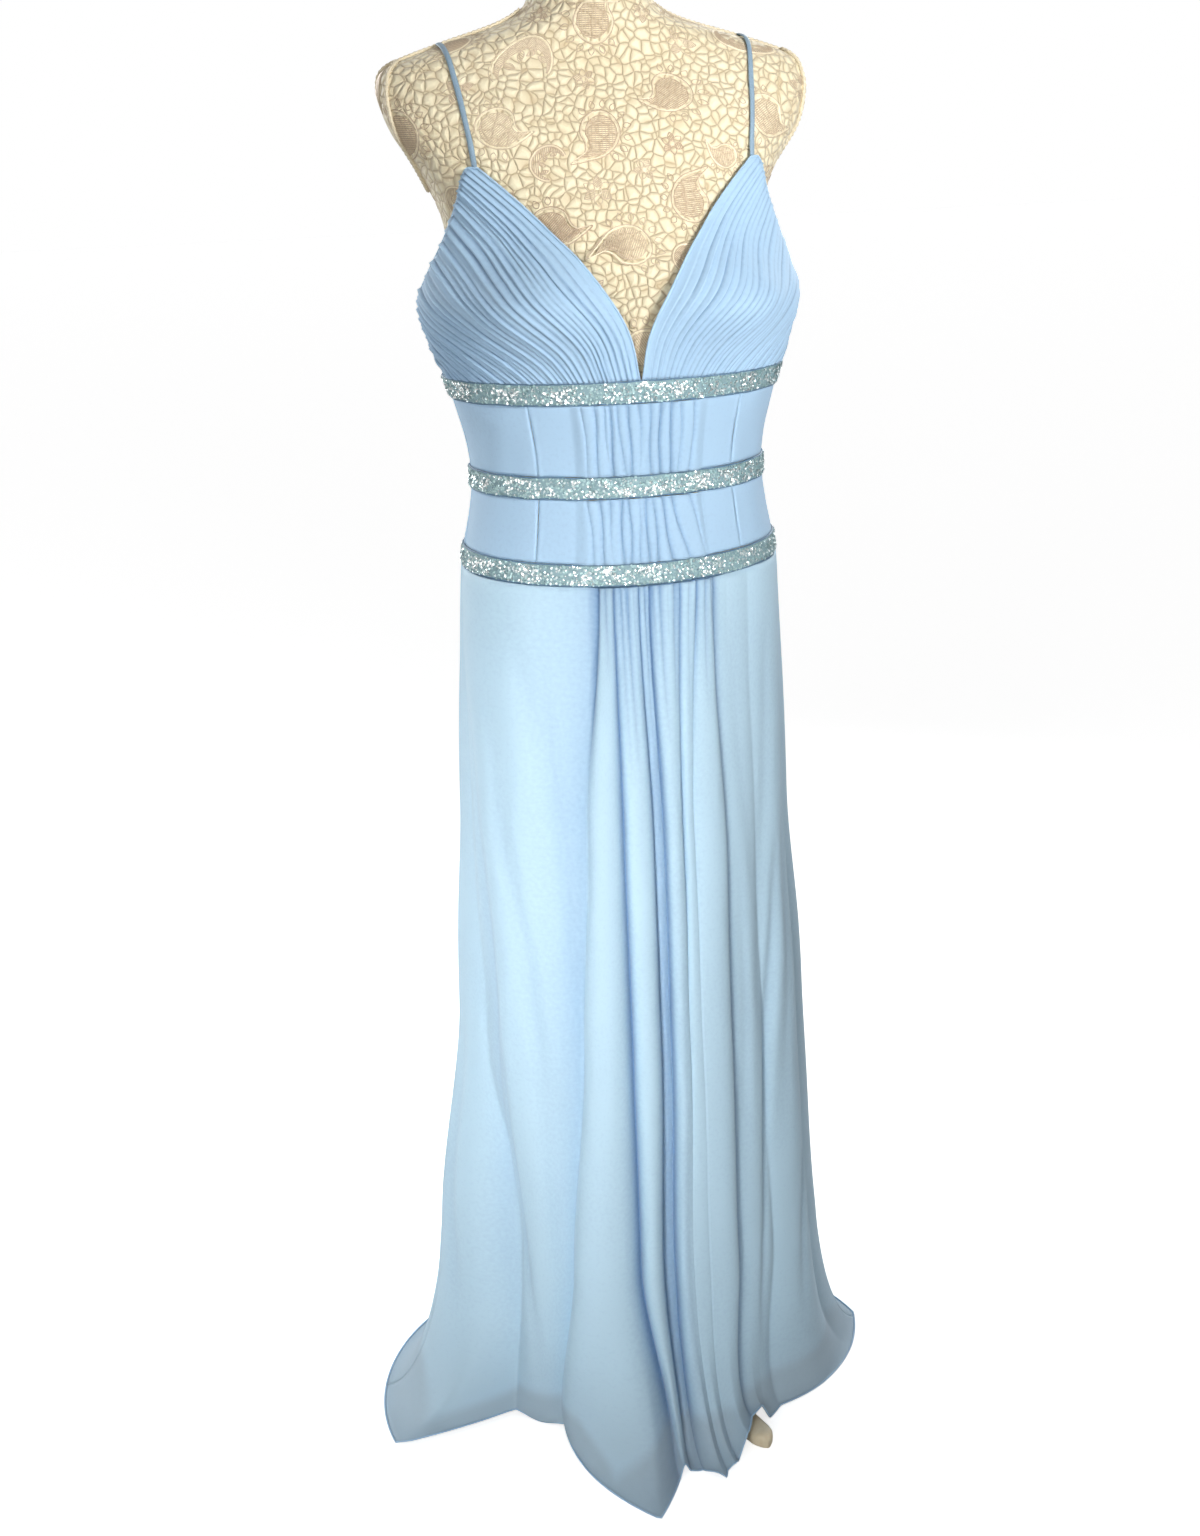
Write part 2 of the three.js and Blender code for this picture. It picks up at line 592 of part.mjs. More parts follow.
// A place on the skirt is a fold's number and, after the point, how far across that fold it lies
const foldNumber = (place) => THREE.MathUtils.clamp(Math.floor(place), 0, folds.length - 2);

function foldAt(place, z) {
  const i = foldNumber(place);
  const t = place - i;
  const angle = mix(atLevel(folds[i].edge, z), atLevel(folds[i + 1].edge, z), t);
  const crest = Math.sin(Math.PI * Math.min(Math.max(t, 0), 1));
  const rise = atLevel(folds[i].rise, z) * Math.max(crest, 0) ** folds[i].pipe;
  return { angle: rad(angle), rise };
}

// Small gathers at the top of the gathered folds, which run out lower down
function skirtGather(place, z) {
  if (place < GATHERED_FOLDS.first || place > GATHERED_FOLDS.last + 1 || z < SKIRT_GATHER_END) return 0;
  const i = Math.min(Math.floor(place), GATHERED_FOLDS.last);
  const before = folds.slice(GATHERED_FOLDS.first, i).reduce((sum, fold) => sum + fold.columns, 0);
  const count = before + (place - i) * folds[i].columns;
  const fade = (z - SKIRT_GATHER_END) / (FOLD_LEVELS[0] - SKIRT_GATHER_END);
  return SKIRT_GATHER_HEIGHT * fade * Math.sin((Math.PI * count) / 2) ** 2;
}

// How far out the hem lies, and how high it hangs
function hemAt(place) {
  const i = foldNumber(place);
  const t = THREE.MathUtils.clamp(place - i, 0, 1);
  const { tip, reach } = folds[i];
  const share = t < tip ? t / tip : (1 - t) / (1 - tip);
  const edge = t < tip ? folds[i].notch : folds[i + 1].notch;
  const side = t < 0.5 ? folds[i].lift : folds[i + 1].lift;
  const hung = side * Math.cos(Math.PI * Math.min(t, 1 - t)) ** 2;
  const fromFoot = Math.abs(THREE.MathUtils.radToDeg(foldAt(place, 0).angle) - LEG.first);
  const raised = OVER_FOOT.lift * THREE.MathUtils.clamp((OVER_FOOT.half - fromFoot) / OVER_FOOT.slope, 0, 1);
  return { reach: mix(edge, reach, share), lift: Math.max(hung, raised) };
}

const skirtTop = (angle) => bandEdge(bands.bottom, angle, -1) - SEAM;

// Radius of the chiffon: it hangs in its folds, then turns outwards on to the floor
function chiffonRadius(place, z) {
  const { angle, rise } = foldAt(place, z);
  const hanging = outline(skirt, angle, z) + rise + skirtGather(place, z);
  if (z >= FLARE_HEIGHT) return hanging;
  const hem = hemAt(place);
  const fallen = Math.min((FLARE_HEIGHT - z) / (FLARE_HEIGHT - HEM_LIFT - hem.lift), 1);
  return mix(hanging, hem.reach, (1 - Math.sqrt(1 - fallen)) ** 1.5);
}

// The lining follows the folds less deeply and stays inside the chiffon
function liningRadius(place, z) {
  const { angle, rise } = foldAt(place, z);
  const hanging = outline(skirt, angle, z) - CHIFFON_WALL - LINING_GAP + LINING_FOLLOW * rise;
  if (z >= FLARE_HEIGHT) return hanging;
  const room = chiffonRadius(place, z) - LINING_IN - hanging;
  if (room <= 0) return hanging + room;
  return hanging + LINING_TURN_OUT.share * room * Math.min((FLARE_HEIGHT - z) / LINING_TURN_OUT.within, 1);
}

// One column of the skirt or its lining, from the hem up to the band
function skirtColumn(place, rows, turns, hem, radius) {
  const top = skirtTop(foldAt(place, FOLD_LEVELS[0]).angle);
  const turned = turns.map((t) => mix(FLARE_HEIGHT, hem, 1 - (1 - t) ** 2));
  const heights = [top, ...rows, ...turned].reverse();
  return heights.map((z) => around(foldAt(place, z).angle, radius(place, z), z, read(skirt, 'centre', z)));
}

// Places of the columns between two places, so that every fold's edge has one
function places(from, to, every = 1) {
  const list = [from];
  folds.slice(0, -1).forEach((fold, i) => {
    const count = Math.ceil(fold.columns / every);
    for (let k = 0; k < count; k += 1) {
      const place = i + k / count;
      if (place > from + 0.05 && place < to - 0.05) list.push(place);
    }
  });
  return [...list, to];
}

// Moves a column sideways, round the pole
function shifted(column, distance) {
  const up = new THREE.Vector3(0, 0, 1);
  return column.map((p) => p.clone().applyAxisAngle(up, distance / Math.hypot(p.x, p.y)));
}

// The wall's normals at a seam take in the next panel's cloth, so that both panels meet there face to face
function skirtPanel(name, from, to, gaps) {
  const list = places(from, to);
  const wide = [from - SEAM_MARGIN, ...list, to + SEAM_MARGIN];
  const full = wide.map((place) => {
    return skirtColumn(place, SKIRT_ROWS, SKIRT_TURN, HEM_LIFT + hemAt(place).lift, chiffonRadius);
  });
  const cut = (grid) => {
    const columns = grid.slice(1, -1);
    columns[0] = shifted(columns[0], gaps[0]);
    columns[columns.length - 1] = shifted(columns.at(-1), -gaps[1]);
    return columns;
  };
  return wall(name, clothBlue, cut(full), cut(inset(full, CHIFFON_WALL)));
}

function skirtLining() {
  const outer = places(0, folds.length - 1, LINING_COLUMNS).slice(0, -1).map((place) => {
    return skirtColumn(place, LINING_ROWS, LINING_TURN, LINING_HEM, liningRadius);
  });
  return wall('skirt_lining', liningBlue, outer, inset(outer, LINING_WALL, true), true);
}

// The zip fills the slit at the centre back
function backAt(z) {
  if (z > skirtTop(Math.PI)) return bodicePoint(Math.PI, z).y;
  return around(Math.PI, outline(skirt, Math.PI, z), z, read(skirt, 'centre', z)).y;
}

function zipTape() {
  const half = ZIP_HALF - SEAM;
  const rings = steps(TAPE_STEPS).map((t) => {
    const z = mix(ZIP_END, BACK_TOP.centre - TAPE_BELOW_EDGE, t);
    const y = backAt(z) + TAPE_STAND;
    return [[-half, -TAPE_THICK], [half, -TAPE_THICK], [half, 0], [-half, 0]]
      .map(([x, depth]) => new THREE.Vector3(x, y + depth, z));
  });
  return loft('zip_tape', zipMetal, rings);
}

function zipSlider() {
  const y = backAt(PULL.top) + SLIDER.stand + SLIDER.thick / 2;
  const mesh = new THREE.Mesh(new THREE.BoxGeometry(SLIDER.wide, SLIDER.thick, SLIDER.long), zipMetal);
  mesh.position.set(0, y, PULL.top);
  mesh.name = 'zip_slider';
  return mesh;
}

// A drop-shaped pull that hangs from the slider
function zipPull() {
  const half = PULL.wide / 2;
  const drop = new THREE.Shape();
  drop.moveTo(-half * PULL.neck, 0);
  drop.lineTo(-half, -PULL.length + half);
  drop.absarc(0, -PULL.length + half, half, Math.PI, 2 * Math.PI, false);
  drop.lineTo(half * PULL.neck, 0);
  drop.closePath();
  const thickness = { depth: PULL.thick, bevelEnabled: false, curveSegments: 8 };
  const geometry = new THREE.ExtrudeGeometry(drop, thickness);
  geometry.rotateX(Math.PI / 2);
  const mesh = new THREE.Mesh(geometry, zipMetal);
  mesh.position.set(0, backAt(PULL.top) + PULL.stand + PULL.thick, PULL.top);
  mesh.name = 'zip_pull';
  return mesh;
}

function torso() {
  const rings = form.map(({ z }) => steps(FORM_COLUMNS).slice(1).map((t) => formPoint(t * 2 * Math.PI, z)));
  return loft('form_torso', formCover, rings);
}

// Turned wood round the pole: a profile of radii and heights
function turned(name, profile) {
  const points = profile.map(([r, z]) => new THREE.Vector2(r, z));
  const mesh = new THREE.Mesh(new THREE.LatheGeometry(points, POLE.sides).rotateX(Math.PI / 2), paleWood);
  mesh.name = name;
  return mesh;
}

function leg(index) {
  const turn = rad(LEG.first + (index * 360) / LEG.count);
  const rings = legLine.map(({ out, z, thick, wide, flat }, i) => {
    const before = legLine[Math.max(i - 1, 0)];
    const after = legLine[i + 1];
    const slope = i === 0 || flat ? 0 : Math.atan2(after.z - before.z, after.out - before.out);
    return LEG_CORNERS.map(([side, up]) => {
      const height = (up * thick) / 2;
      const point = around(turn, out - height * Math.sin(slope), z + height * Math.cos(slope), 0);
      const across = new THREE.Vector3(Math.cos(turn), Math.sin(turn), 0);
      return point.addScaledVector(across, (side * wide) / 2);
    });
  });
  return loft(`leg_${index + 1}`, paleWood, rings);
}

const gown = new THREE.Group();
gown.add(
  cup('cup_left', 1),
  cup('cup_right', -1),
  backTop('left', 1),
  backTop('right', -1),
  strap('strap_left', 1),
  strap('strap_right', -1),
  bandRing('band_top', bands.top),
  bandRing('band_middle', bands.middle),
  bandRing('band_bottom', bands.bottom),
  ...midriff('upper', bands.middle, bands.top),
  ...midriff('lower', bands.bottom, bands.middle),
  skirtPanel('skirt_back_right', 0, LEFT_SEAM, [ZIP_HALF, SEAM / 2]),
  skirtPanel('skirt_front', LEFT_SEAM, RIGHT_SEAM, [SEAM / 2, SEAM / 2]),
  skirtPanel('skirt_back_left', RIGHT_SEAM, folds.length - 1, [SEAM / 2, ZIP_HALF]),
  skirtLining(),
  zipTape(),
  zipSlider(),
  zipPull(),
);

const stand = new THREE.Group();
stand.add(
  torso(),
  turned('pole', [[0, POLE.low], [POLE.radius, POLE.low], [POLE.radius, POLE.high], [0, POLE.high]]),
  turned('hub', [
    [0, HUB.low],
    [HUB.radius - HUB.chamfer, HUB.low],
    [HUB.radius, HUB.low + HUB.chamfer],
    [HUB.radius, HUB.high - HUB.shoulder],
    [POLE.radius + HUB.chamfer, HUB.high],
    [0, HUB.high],
  ]),
  ...steps(LEG.count - 1).map((_, i) => leg(i)),
);

// The whole is moved so that the middle of its box stands on the origin
const whole = new THREE.Group();
whole.add(gown, stand);
const box = new THREE.Box3().setFromObject(whole);
const middle = box.getCenter(new THREE.Vector3());
whole.position.set(-middle.x, -middle.y, -box.min.z);

export default whole;
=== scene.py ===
import math
import random

import bmesh
import bpy
import numpy as np
from mathutils import Matrix, Vector


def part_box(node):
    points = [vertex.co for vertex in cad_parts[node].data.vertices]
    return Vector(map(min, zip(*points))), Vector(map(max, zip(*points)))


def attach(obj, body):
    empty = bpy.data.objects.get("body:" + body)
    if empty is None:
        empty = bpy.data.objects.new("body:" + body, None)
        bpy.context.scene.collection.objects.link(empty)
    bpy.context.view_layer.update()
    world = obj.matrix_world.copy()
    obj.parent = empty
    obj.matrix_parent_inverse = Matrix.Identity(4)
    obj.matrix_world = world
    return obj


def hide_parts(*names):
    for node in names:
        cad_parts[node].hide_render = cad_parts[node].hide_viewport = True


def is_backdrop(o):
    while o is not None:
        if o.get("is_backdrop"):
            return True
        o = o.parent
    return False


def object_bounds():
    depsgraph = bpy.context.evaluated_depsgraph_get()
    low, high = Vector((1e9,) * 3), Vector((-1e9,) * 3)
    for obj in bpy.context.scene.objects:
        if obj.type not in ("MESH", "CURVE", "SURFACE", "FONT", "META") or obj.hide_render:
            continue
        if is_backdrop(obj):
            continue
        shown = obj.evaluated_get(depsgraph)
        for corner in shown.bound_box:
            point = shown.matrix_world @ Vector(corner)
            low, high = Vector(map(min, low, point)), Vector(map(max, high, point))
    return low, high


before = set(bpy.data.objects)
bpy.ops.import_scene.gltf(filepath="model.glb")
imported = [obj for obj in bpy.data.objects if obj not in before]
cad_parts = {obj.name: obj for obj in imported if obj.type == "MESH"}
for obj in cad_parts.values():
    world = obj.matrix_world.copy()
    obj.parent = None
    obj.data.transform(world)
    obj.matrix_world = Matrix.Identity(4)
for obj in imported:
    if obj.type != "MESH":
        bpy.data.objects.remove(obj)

# Lengths below are in millimetres round the stand's pole; MM turns them into metres.
MM = 0.001
CAD_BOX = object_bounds()
POLE_LOW, POLE_HIGH = (Vector(corner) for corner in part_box("pole"))
AXIS = (POLE_LOW + POLE_HIGH) / 2
BODY = "gown_on_form"

# The photograph's view: where the camera stands and how it is turned
EYE_HEIGHT = 1352
EYE_DISTANCE = 2125
EYE_ASIDE = -27
EYE_TURN = 11.5
EYE_DOWN = 17.5
EYE_ROLL = 2.0
FOCAL_PIXELS = 2169
PHOTO_HEIGHT = 1536
SENSOR = 36

# Studio, in metres and in Blender's light strengths
FLOOR_HALF = 20
FLOOR_GLOW = 0.75
ROOM_LIGHT = 0.22
LIGHTS = (
    # name, place, width and height, power, colour, aim, spread in degrees
    ("key", (-1.1, -2.4, 1.1), (1.2, 1.2), 13.5, (1, 0.99, 0.97), (0, 0, 0.6), 180),
    ("bust", (1.0, -2.0, 1.9), (0.5, 0.5), 2.1, (1, 1, 1), (0.14, 0, 1.3), 34),
    ("skirt high", (-0.9, -2.4, 1.0), (0.5, 0.5), 0.5, (1, 1, 1), (-0.12, 0, 0.68), 28),
    ("skirt low", (-1.2, -2.2, 0.8), (0.5, 0.5), 0.95, (1, 1, 1), (-0.14, 0, 0.47), 30),
    ("behind left", (1.6, 2.4, 1.7), (1.4, 1.4), 13, (1, 1, 1), (0, 0.1, 0.8), 90),
    ("behind right", (-1.6, 2.4, 1.7), (1.4, 1.4), 13, (1, 1, 1), (0, 0.1, 0.8), 90),
)

# Cloth
SEAM = 0.3
PANEL_THICK = 1.2
CHIFFON_THICK = 0.5
SIDE_SEAM = 90
PRINCESS_SEAM = 48
CENTRE_BACK = 180
ZIP_HALF = 1.5

BAND_HEIGHT = 21
BAND_RISE = 1.6
BANDS = {"band_top": (1080, 0), "band_middle": (992, 1), "band_bottom": (915, 6)}

PLEATS = 44
PLEAT_HEIGHT = 3.2
PLAIN_EDGE = 0.03
PLAIN_SIDE = {-1: 1.05, 1: 0.9}
PLEAT_CREST = 0.74
CUP_BOTTOM = BANDS["band_top"][0] + BAND_HEIGHT / 2 + SEAM
CUP_TOP = 1282
CUP_CENTRE_GAP = 0.4
CUP_SIDE = 86.5
BUST = {"angle": 36, "z": 1162, "rise": 38, "wide": 24, "high": 45}
FORM_BUST = {"angle": 36, "z": 1162, "rise": 26, "wide": 24, "high": 42}
BACK_TOP_SIDE = 1162
BACK_TOP_CENTRE = 1138

STRAP_WIDTH = 6.5
STRAP_THICK = 2.4
STRAP_SEEN = 5.2
STRAP_LIFT = 0.8
STRAP_END_FRONT = 2.2
STRAP_END_BACK = 4.2
STRAP_END_WITHIN = 0.06
STRAP_Y, STRAP_Z = 45, 1270

FLARE_HEIGHT = 140
HEM_LIFT = 1.2
HEM_ROLL = 0.9
FOOT_ANGLE = 20.5
OVER_FOOT_LIFT = 23
OVER_FOOT_HALF = 9.5
OVER_FOOT_SLOPE = 4
LINING_GAP = 2.6
LINING_FOLLOW = 0.35
LINING_IN = 6
LINING_HEM = 42
CURLS = {5: 11, 7: 5, 8: 6}  # how far the hem lifts in the middle of some folds
GATHER_TOP = 900
GATHER_MIDDLE = 4.5
GATHER_HALF = 33
FOLD_SHARP = 0.62


def table(columns, *rows):
    values = np.array(rows, dtype=float).T
    return dict(zip(columns.split(), values))


def each_row(rows):
    return zip(*rows.values())


# The form, the bodice and the skirt in level sections
FORM = table(
    "z half front back centre square",
    (740, 140, 96, 112, 6, 2.2),
    (762, 150, 106, 125, 6, 2.1),
    (800, 152, 111, 130, 5, 2.05),
    (860, 150.5, 111, 122.5, 5, 2.05),
    (900, 149, 111.5, 112, 4, 2.05),
    (925, 147.5, 111.5, 105, 3, 2.05),
    (955, 144, 109.5, 99.5, 2, 2.05),
    (992, 140, 105.5, 94.5, 2, 2.05),
    (1025, 143, 107.5, 95.5, 2, 2.05),
    (1060, 151.5, 113, 98, 3, 2.05),
    (1091, 157, 115, 101, 5, 2.05),
    (1125, 158, 114, 104, 9, 2.05),
    (1160, 155, 110, 106, 14, 2.1),
    (1210, 152, 103, 106, 23, 2.2),
    (1250, 160, 95, 104, 31, 2.3),
    (1284, 178, 86, 100, 38, 2.5),
    (1310, 195, 82, 96, 44, 2.5),
    (1335, 205, 75, 88, 50, 2.5),
    (1355, 208, 68, 78, 55, 2.4),
    (1373, 196, 62, 70, 58, 2.3),
    (1390, 149, 60, 66, 60, 2.2),
    (1408, 90, 62, 64, 62, 2.1),
    (1422, 65, 61, 62, 62, 2),
    (1440, 57.5, 57, 58, 62, 2),
    (1470, 55, 55, 56, 62, 2),
)

BODICE = table(
    "z half front back centre square",
    (895, 157, 121, 122, 4, 2.05),
    (925, 154, 118.5, 112, 3, 2.05),
    (955, 148, 114, 104, 2, 2.05),
    (992, 144, 110, 99, 2, 2.05),
    (1025, 147, 112, 100, 2, 2.05),
    (1060, 156, 118, 103, 3, 2.05),
    (1091, 166, 122, 106, 5, 2.05),
    (1135, 181, 123, 111, 10, 2.05),
    (1160, 185, 120, 113, 14, 2.05),
    (1185, 179, 114, 114, 19, 2.05),
    (1215, 172, 108, 112, 24, 2.1),
    (1250, 167, 102, 110, 31, 2.3),
    (1284, 170, 98, 106, 38, 2.5),
)

SKIRT = table(
    "z half front back centre square",
    (0, 187, 162, 171, 0, 2),
    (140, 181, 156, 165, 0, 2),
    (200, 177, 152, 161, 0, 2),
    (300, 172, 147, 156, 0, 2),
    (400, 168.5, 142, 152, 1, 2),
    (500, 166, 137, 149, 2, 2),
    (600, 163, 131, 146, 3, 2),
    (700, 161, 126, 143, 4, 2),
    (800, 160, 122, 139, 5, 2),
    (860, 158.5, 121, 132, 5, 2.05),
    (895, 157, 121, 122, 4, 2.05),
    (925, 154, 118.5, 112, 3, 2.05),
)

NECK_EDGE = table(
    "z angle",
    (CUP_BOTTOM, CUP_CENTRE_GAP),
    (1130, 3.8),
    (1165, 11.3),
    (1200, 22.6),
    (1227, 36),
    (1255, 49),
    (CUP_TOP, 60.2),
)

ARM_EDGE = table(
    "along angle z",
    (0, 60.2, CUP_TOP),
    (0.05, 64.5, 1281),
    (0.2, 70, 1252),
    (0.33, 77, 1215),
    (0.45, 84, 1185),
    (0.58, 89.4, 1162),
    (0.75, 89.8, 1137),
    (1, 89.8, 1098),
)

# How far out to the side a strap lies, as it turns over the shoulder from its low end in front to the back
STRAP_LINE = table("turn x", (9.15, 130.5), (55, 139), (97, 146), (140, 128), (190, 103), (245.8, 84))

# Folds of the skirt: each starts at its own edge. Edges and crest heights are read at these levels.
FOLD_LEVELS = (900, 650, 430, 200, 20)
FOLD_COLUMNS = "edge rise pipe notch reach tip lift"
# How much the valleys before some folds are filled, and how much painted shade darkens a fold's face, at the
# same levels
VALLEY_FILL = {9: (0, 8, 15, 18, 18), 8: (0, 3, 13, 18, 19)}
FACE_PAINTED_SHADE = {
    3: (0.1, 0.12, 0.12, 0.05, 0),
    6: (0.25, 0.45, 0.5, 0.45, 0.25),
    7: (0, 0.05, 0.12, 0.16, 0.1),
}
FOLDS = [dict(zip(FOLD_COLUMNS.split(), row)) for row in (
    ((-180, -180, -180, -180, -180), (5, 12, 18, 26, 30), 1.1, 240, 285, 0.5, 0),
    ((-152, -152, -152, -152, -152), (5, 13, 20, 28, 32), 1.1, 238, 275, 0.5, 0),
    ((-122, -122, -122, -120, -118), (3, 12, 18, 40, 46), 0.9, 256, 317, 0.88, 0),
    ((-92, -88, -79, -60, -61), (3, 9, 13, 15, 14), 0.8, 186, 180, 0.4, 5),
    ((-21, -28.6, -31.5, -36.5, -42), (6, 17, 24, 33, 40), 0.6, 174, 309, 0.86, 4),
    ((-15, -13.8, -13, -12.5, -5), (6, 15, 20, 26, 28), 0.6, 250, 240, 0.5, 0),
    ((-4, -1, -1.5, -4, -1.5), (4, 3, 3, 3, 5), 1, 236, 238, 0.5, 0),
    ((0.5, 3.5, 2.8, 0.5, 1.5), (6, 14, 18, 20, 22), 0.6, 238, 262, 0.7, 0),
    ((14.5, 11.5, 9, 6, 7), (5, 11, 16, 19, 20), 0.7, 246, 247, 0.5, 0),
    ((22, 16, 13.7, 12, 11), (6, 14, 18, 21, 20), 0.6, 236, 226, 0.5, 0),
    ((30, 31.5, 28.3, 25.5, 20), (2, 3, 5, 7, 8), 1, 206, 197, 0.35, 8),
    ((50, 50, 48, 46, 37), (3, 7, 12, 15, 18), 0.9, 190, 215, 0.6, 2),
    ((78, 78, 76, 74, 76), (5, 11, 20, 20, 22), 0.9, 232, 247, 0.4, 0),
    ((112, 112, 112, 113, 114), (4, 11, 17, 24, 28), 1.1, 230, 284, 0.6, 0),
    ((146, 146, 147, 147, 148), (5, 12, 18, 26, 30), 1.1, 246, 275, 0.5, 0),
    ((180, 180, 180, 180, 180), (5, 12, 18, 26, 30), 1.1, 240, 285, 0.5, 0),
)]
# Which folds are gathered, and where the seams lie, all counted in folds
GATHERED_FROM = 4
GATHERED_TO = 10
LEFT_SEAM = 2.5
RIGHT_SEAM = 12.35
LAST_FOLD = len(FOLDS) - 1

# Long soft creases: angle and height where each starts and ends, how wide in degrees and how deep
CREASES = table(
    "high_angle high low_angle low wide deep",
    (-58, 868, -36, 600, 4, 2.2),
    (-46, 860, -33, 420, 2.6, 1.8),
    (-72, 820, -46, 380, 4, 2.6),
    (-34, 760, -38, 470, 3, 1.4),
    (-88, 800, -60, 330, 3.2, 3.2),
    (-52, 560, -40, 130, 3, 2.4),
    (-78, 640, -60, 50, 6, 6),
    (-74, 560, -60, 90, 2.4, 3),
    (-66, 420, -48, 60, 2.2, 5),
    (-92, 420, -78, 90, 3, 5),
    (41, 860, 44, 560, 4, 1.5),
    (62, 860, 44, 420, 3.4, 2.2),
    (38, 640, 33, 240, 2.6, 2.2),
    (74, 760, 50, 260, 3.6, 3.4),
    (60, 620, 33, 70, 2.2, 6),
    (78, 420, 52, 80, 2.6, 4.5),
    (104, 840, 124, 380, 4.5, 2.6),
    (96, 480, 112, 90, 3, 5),
    (138, 800, 128, 420, 4.5, 2.6),
    (160, 700, 168, 260, 4, 3),
    (150, 420, 138, 80, 3, 5),
    (-104, 840, -122, 400, 4.5, 2.6),
    (-112, 460, -100, 80, 3, 5),
    (-138, 780, -128, 360, 4.5, 2.6),
    (-164, 720, -156, 300, 4, 3),
    (-146, 420, -160, 80, 3, 5),
)

# Where the lining's hem hangs lower in a corner: which fold, how wide and how low
LINING_CORNERS = table("fold half low", (2.85, 0.26, 17), (4.6, 0.34, 9), (5.5, 0.5, 4), (12.5, 0.5, 20))

# Short gathers under the bottom band: angle at the top and where they run out, how low that is, how deep
SKIRT_GATHERS = table(
    "top low end deep",
    (-18.4, -17.6, 800, 2.6),
    (-12.2, -9.5, 700, 3.0),
    (-9.5, -6.0, 700, 3.6),
    (-6.8, -3.4, 720, 1.4),
    (-1.6, 1.6, 690, 3.0),
    (1.6, 4.6, 780, 2.0),
    (5.0, 7.0, 730, 3.2),
    (8.4, 8.6, 800, 1.2),
    (11.6, 10.8, 760, 2.8),
    (18.2, 17.0, 740, 1.6),
    (25.6, 24.8, 770, 2.4),
    (28.4, 29.2, 820, 2.0),
)

# Gathers of the midriff: angle at the upper band, angle at the lower band, how deep at each end
UPPER_GATHERS = table(
    "top low high_deep low_deep",
    (-26.4, -25.2, 1.6, 1.2),
    (-21.2, -20.4, 2.4, 2.0),
    (-16.8, -15.4, 2.2, 0.4),
    (-14.8, -13.2, 2.6, 3.0),
    (-11.2, -8.4, 2.2, 1.8),
    (-6.0, -5.2, 2.8, 2.6),
    (-1.2, -0.6, 2.6, 0.5),
    (3.2, 4.8, 2.4, 2.4),
    (8.4, 8.8, 3.0, 2.8),
    (13.6, 14.0, 3.0, 3.0),
    (18.0, 18.2, 2.4, 1.4),
    (24.4, 23.6, 2.2, 1.8),
)
LOWER_GATHERS = table(
    "top low high_deep low_deep",
    (-26.0, -22.9, 1.8, 1.6),
    (-20.8, -18.3, 2.6, 2.0),
    (-16.2, -14.5, 2.4, 0.4),
    (-10.5, -10.3, 2.8, 2.4),
    (-6.9, -6.4, 2.4, 2.4),
    (-2.4, -2.0, 1.2, 2.0),
    (1.4, 1.2, 2.8, 2.6),
    (4.5, 6.5, 2.2, 2.6),
    (9.1, 12.7, 2.8, 2.8),
    (14.2, 20.4, 2.8, 2.4),
    (23.0, 29.2, 2.2, 1.6),
    (28.6, 31.8, 1.6, 1.8),
)
GATHER_HEIGHT = 4.4
GATHER_SHARP = 1.1


def read(rows, name, at, by="z"):
    """A smooth value between the rows of a table."""
    xs, ys = rows[by], rows[name]
    at = np.clip(np.asarray(at, dtype=float), xs[0], xs[-1])
    before = np.concatenate(([0], np.arange(len(xs) - 1)))
    after = np.concatenate((np.arange(1, len(xs)), [len(xs) - 1]))
    slopes = (ys[after] - ys[before]) / (xs[after] - xs[before])
    i = np.clip(np.searchsorted(xs, at, side="right") - 1, 0, len(xs) - 2)
    span = xs[i + 1] - xs[i]
    t = (at - xs[i]) / span
    start = ys[i] * (1 + 2 * t) * (1 - t) ** 2 + slopes[i] * span * t * (1 - t) ** 2
    end = ys[i + 1] * (3 - 2 * t) * t**2 - slopes[i + 1] * span * (1 - t) * t**2
    return start + end


def mix(a, b, t):
    return a + (b - a) * t


def unit(vectors):
    return vectors / np.linalg.norm(vectors, axis=-1, keepdims=True)


def outline(rows, angle, z):
    """Distance from the section's centre to its outline, at an angle in radians."""
    depth = np.where(np.cos(angle) > 0, read(rows, "front", z), read(rows, "back", z))
    n = read(rows, "square", z)
    across = np.abs(np.sin(angle)) / read(rows, "half", z)
    along = np.abs(np.cos(angle)) / depth
    return (across**n + along**n) ** (-1 / n)


def mound(shape, angle, z):
    side = np.abs(np.degrees(angle)) - shape["angle"]
    return shape["rise"] * np.exp(-((side / shape["wide"]) ** 2) - ((z - shape["z"]) / shape["high"]) ** 2)


def around(angle, r, z, centre):
    return np.stack(np.broadcast_arrays(r * np.sin(angle), centre - r * np.cos(angle), z), axis=-1)


def form_point(angle, z):
    r = outline(FORM, angle, z) + mound(FORM_BUST, angle, z)
    return around(angle, r, z, read(FORM, "centre", z))


def bodice_point(angle, z, out=0.0):
    r = outline(BODICE, angle, z) + mound(BUST, angle, z) + out
    return around(angle, r, z, read(BODICE, "centre", z))


def waves(u, v, seed, size, count=6):
    """Soft uneven rise and fall between about -1 and 1, over lengths of about `size`."""
    draw = random.Random(seed)
    total = 0
    for _ in range(count):
        turn, length = draw.uniform(0, math.pi), size * draw.uniform(0.6, 1.8)
        phase = draw.uniform(0, 2 * math.pi)
        total = total + np.sin((u * math.cos(turn) + v * math.sin(turn)) * 2 * math.pi / length + phase)
    return total / count * 1.5


def steps(count):
    return np.linspace(0, 1, count + 1)


# Meshes


def place(points):
    """Millimetres round the pole to metres in the frame."""
    return np.asarray(points, dtype=float) * MM + np.array((AXIS.x, AXIS.y, 0))


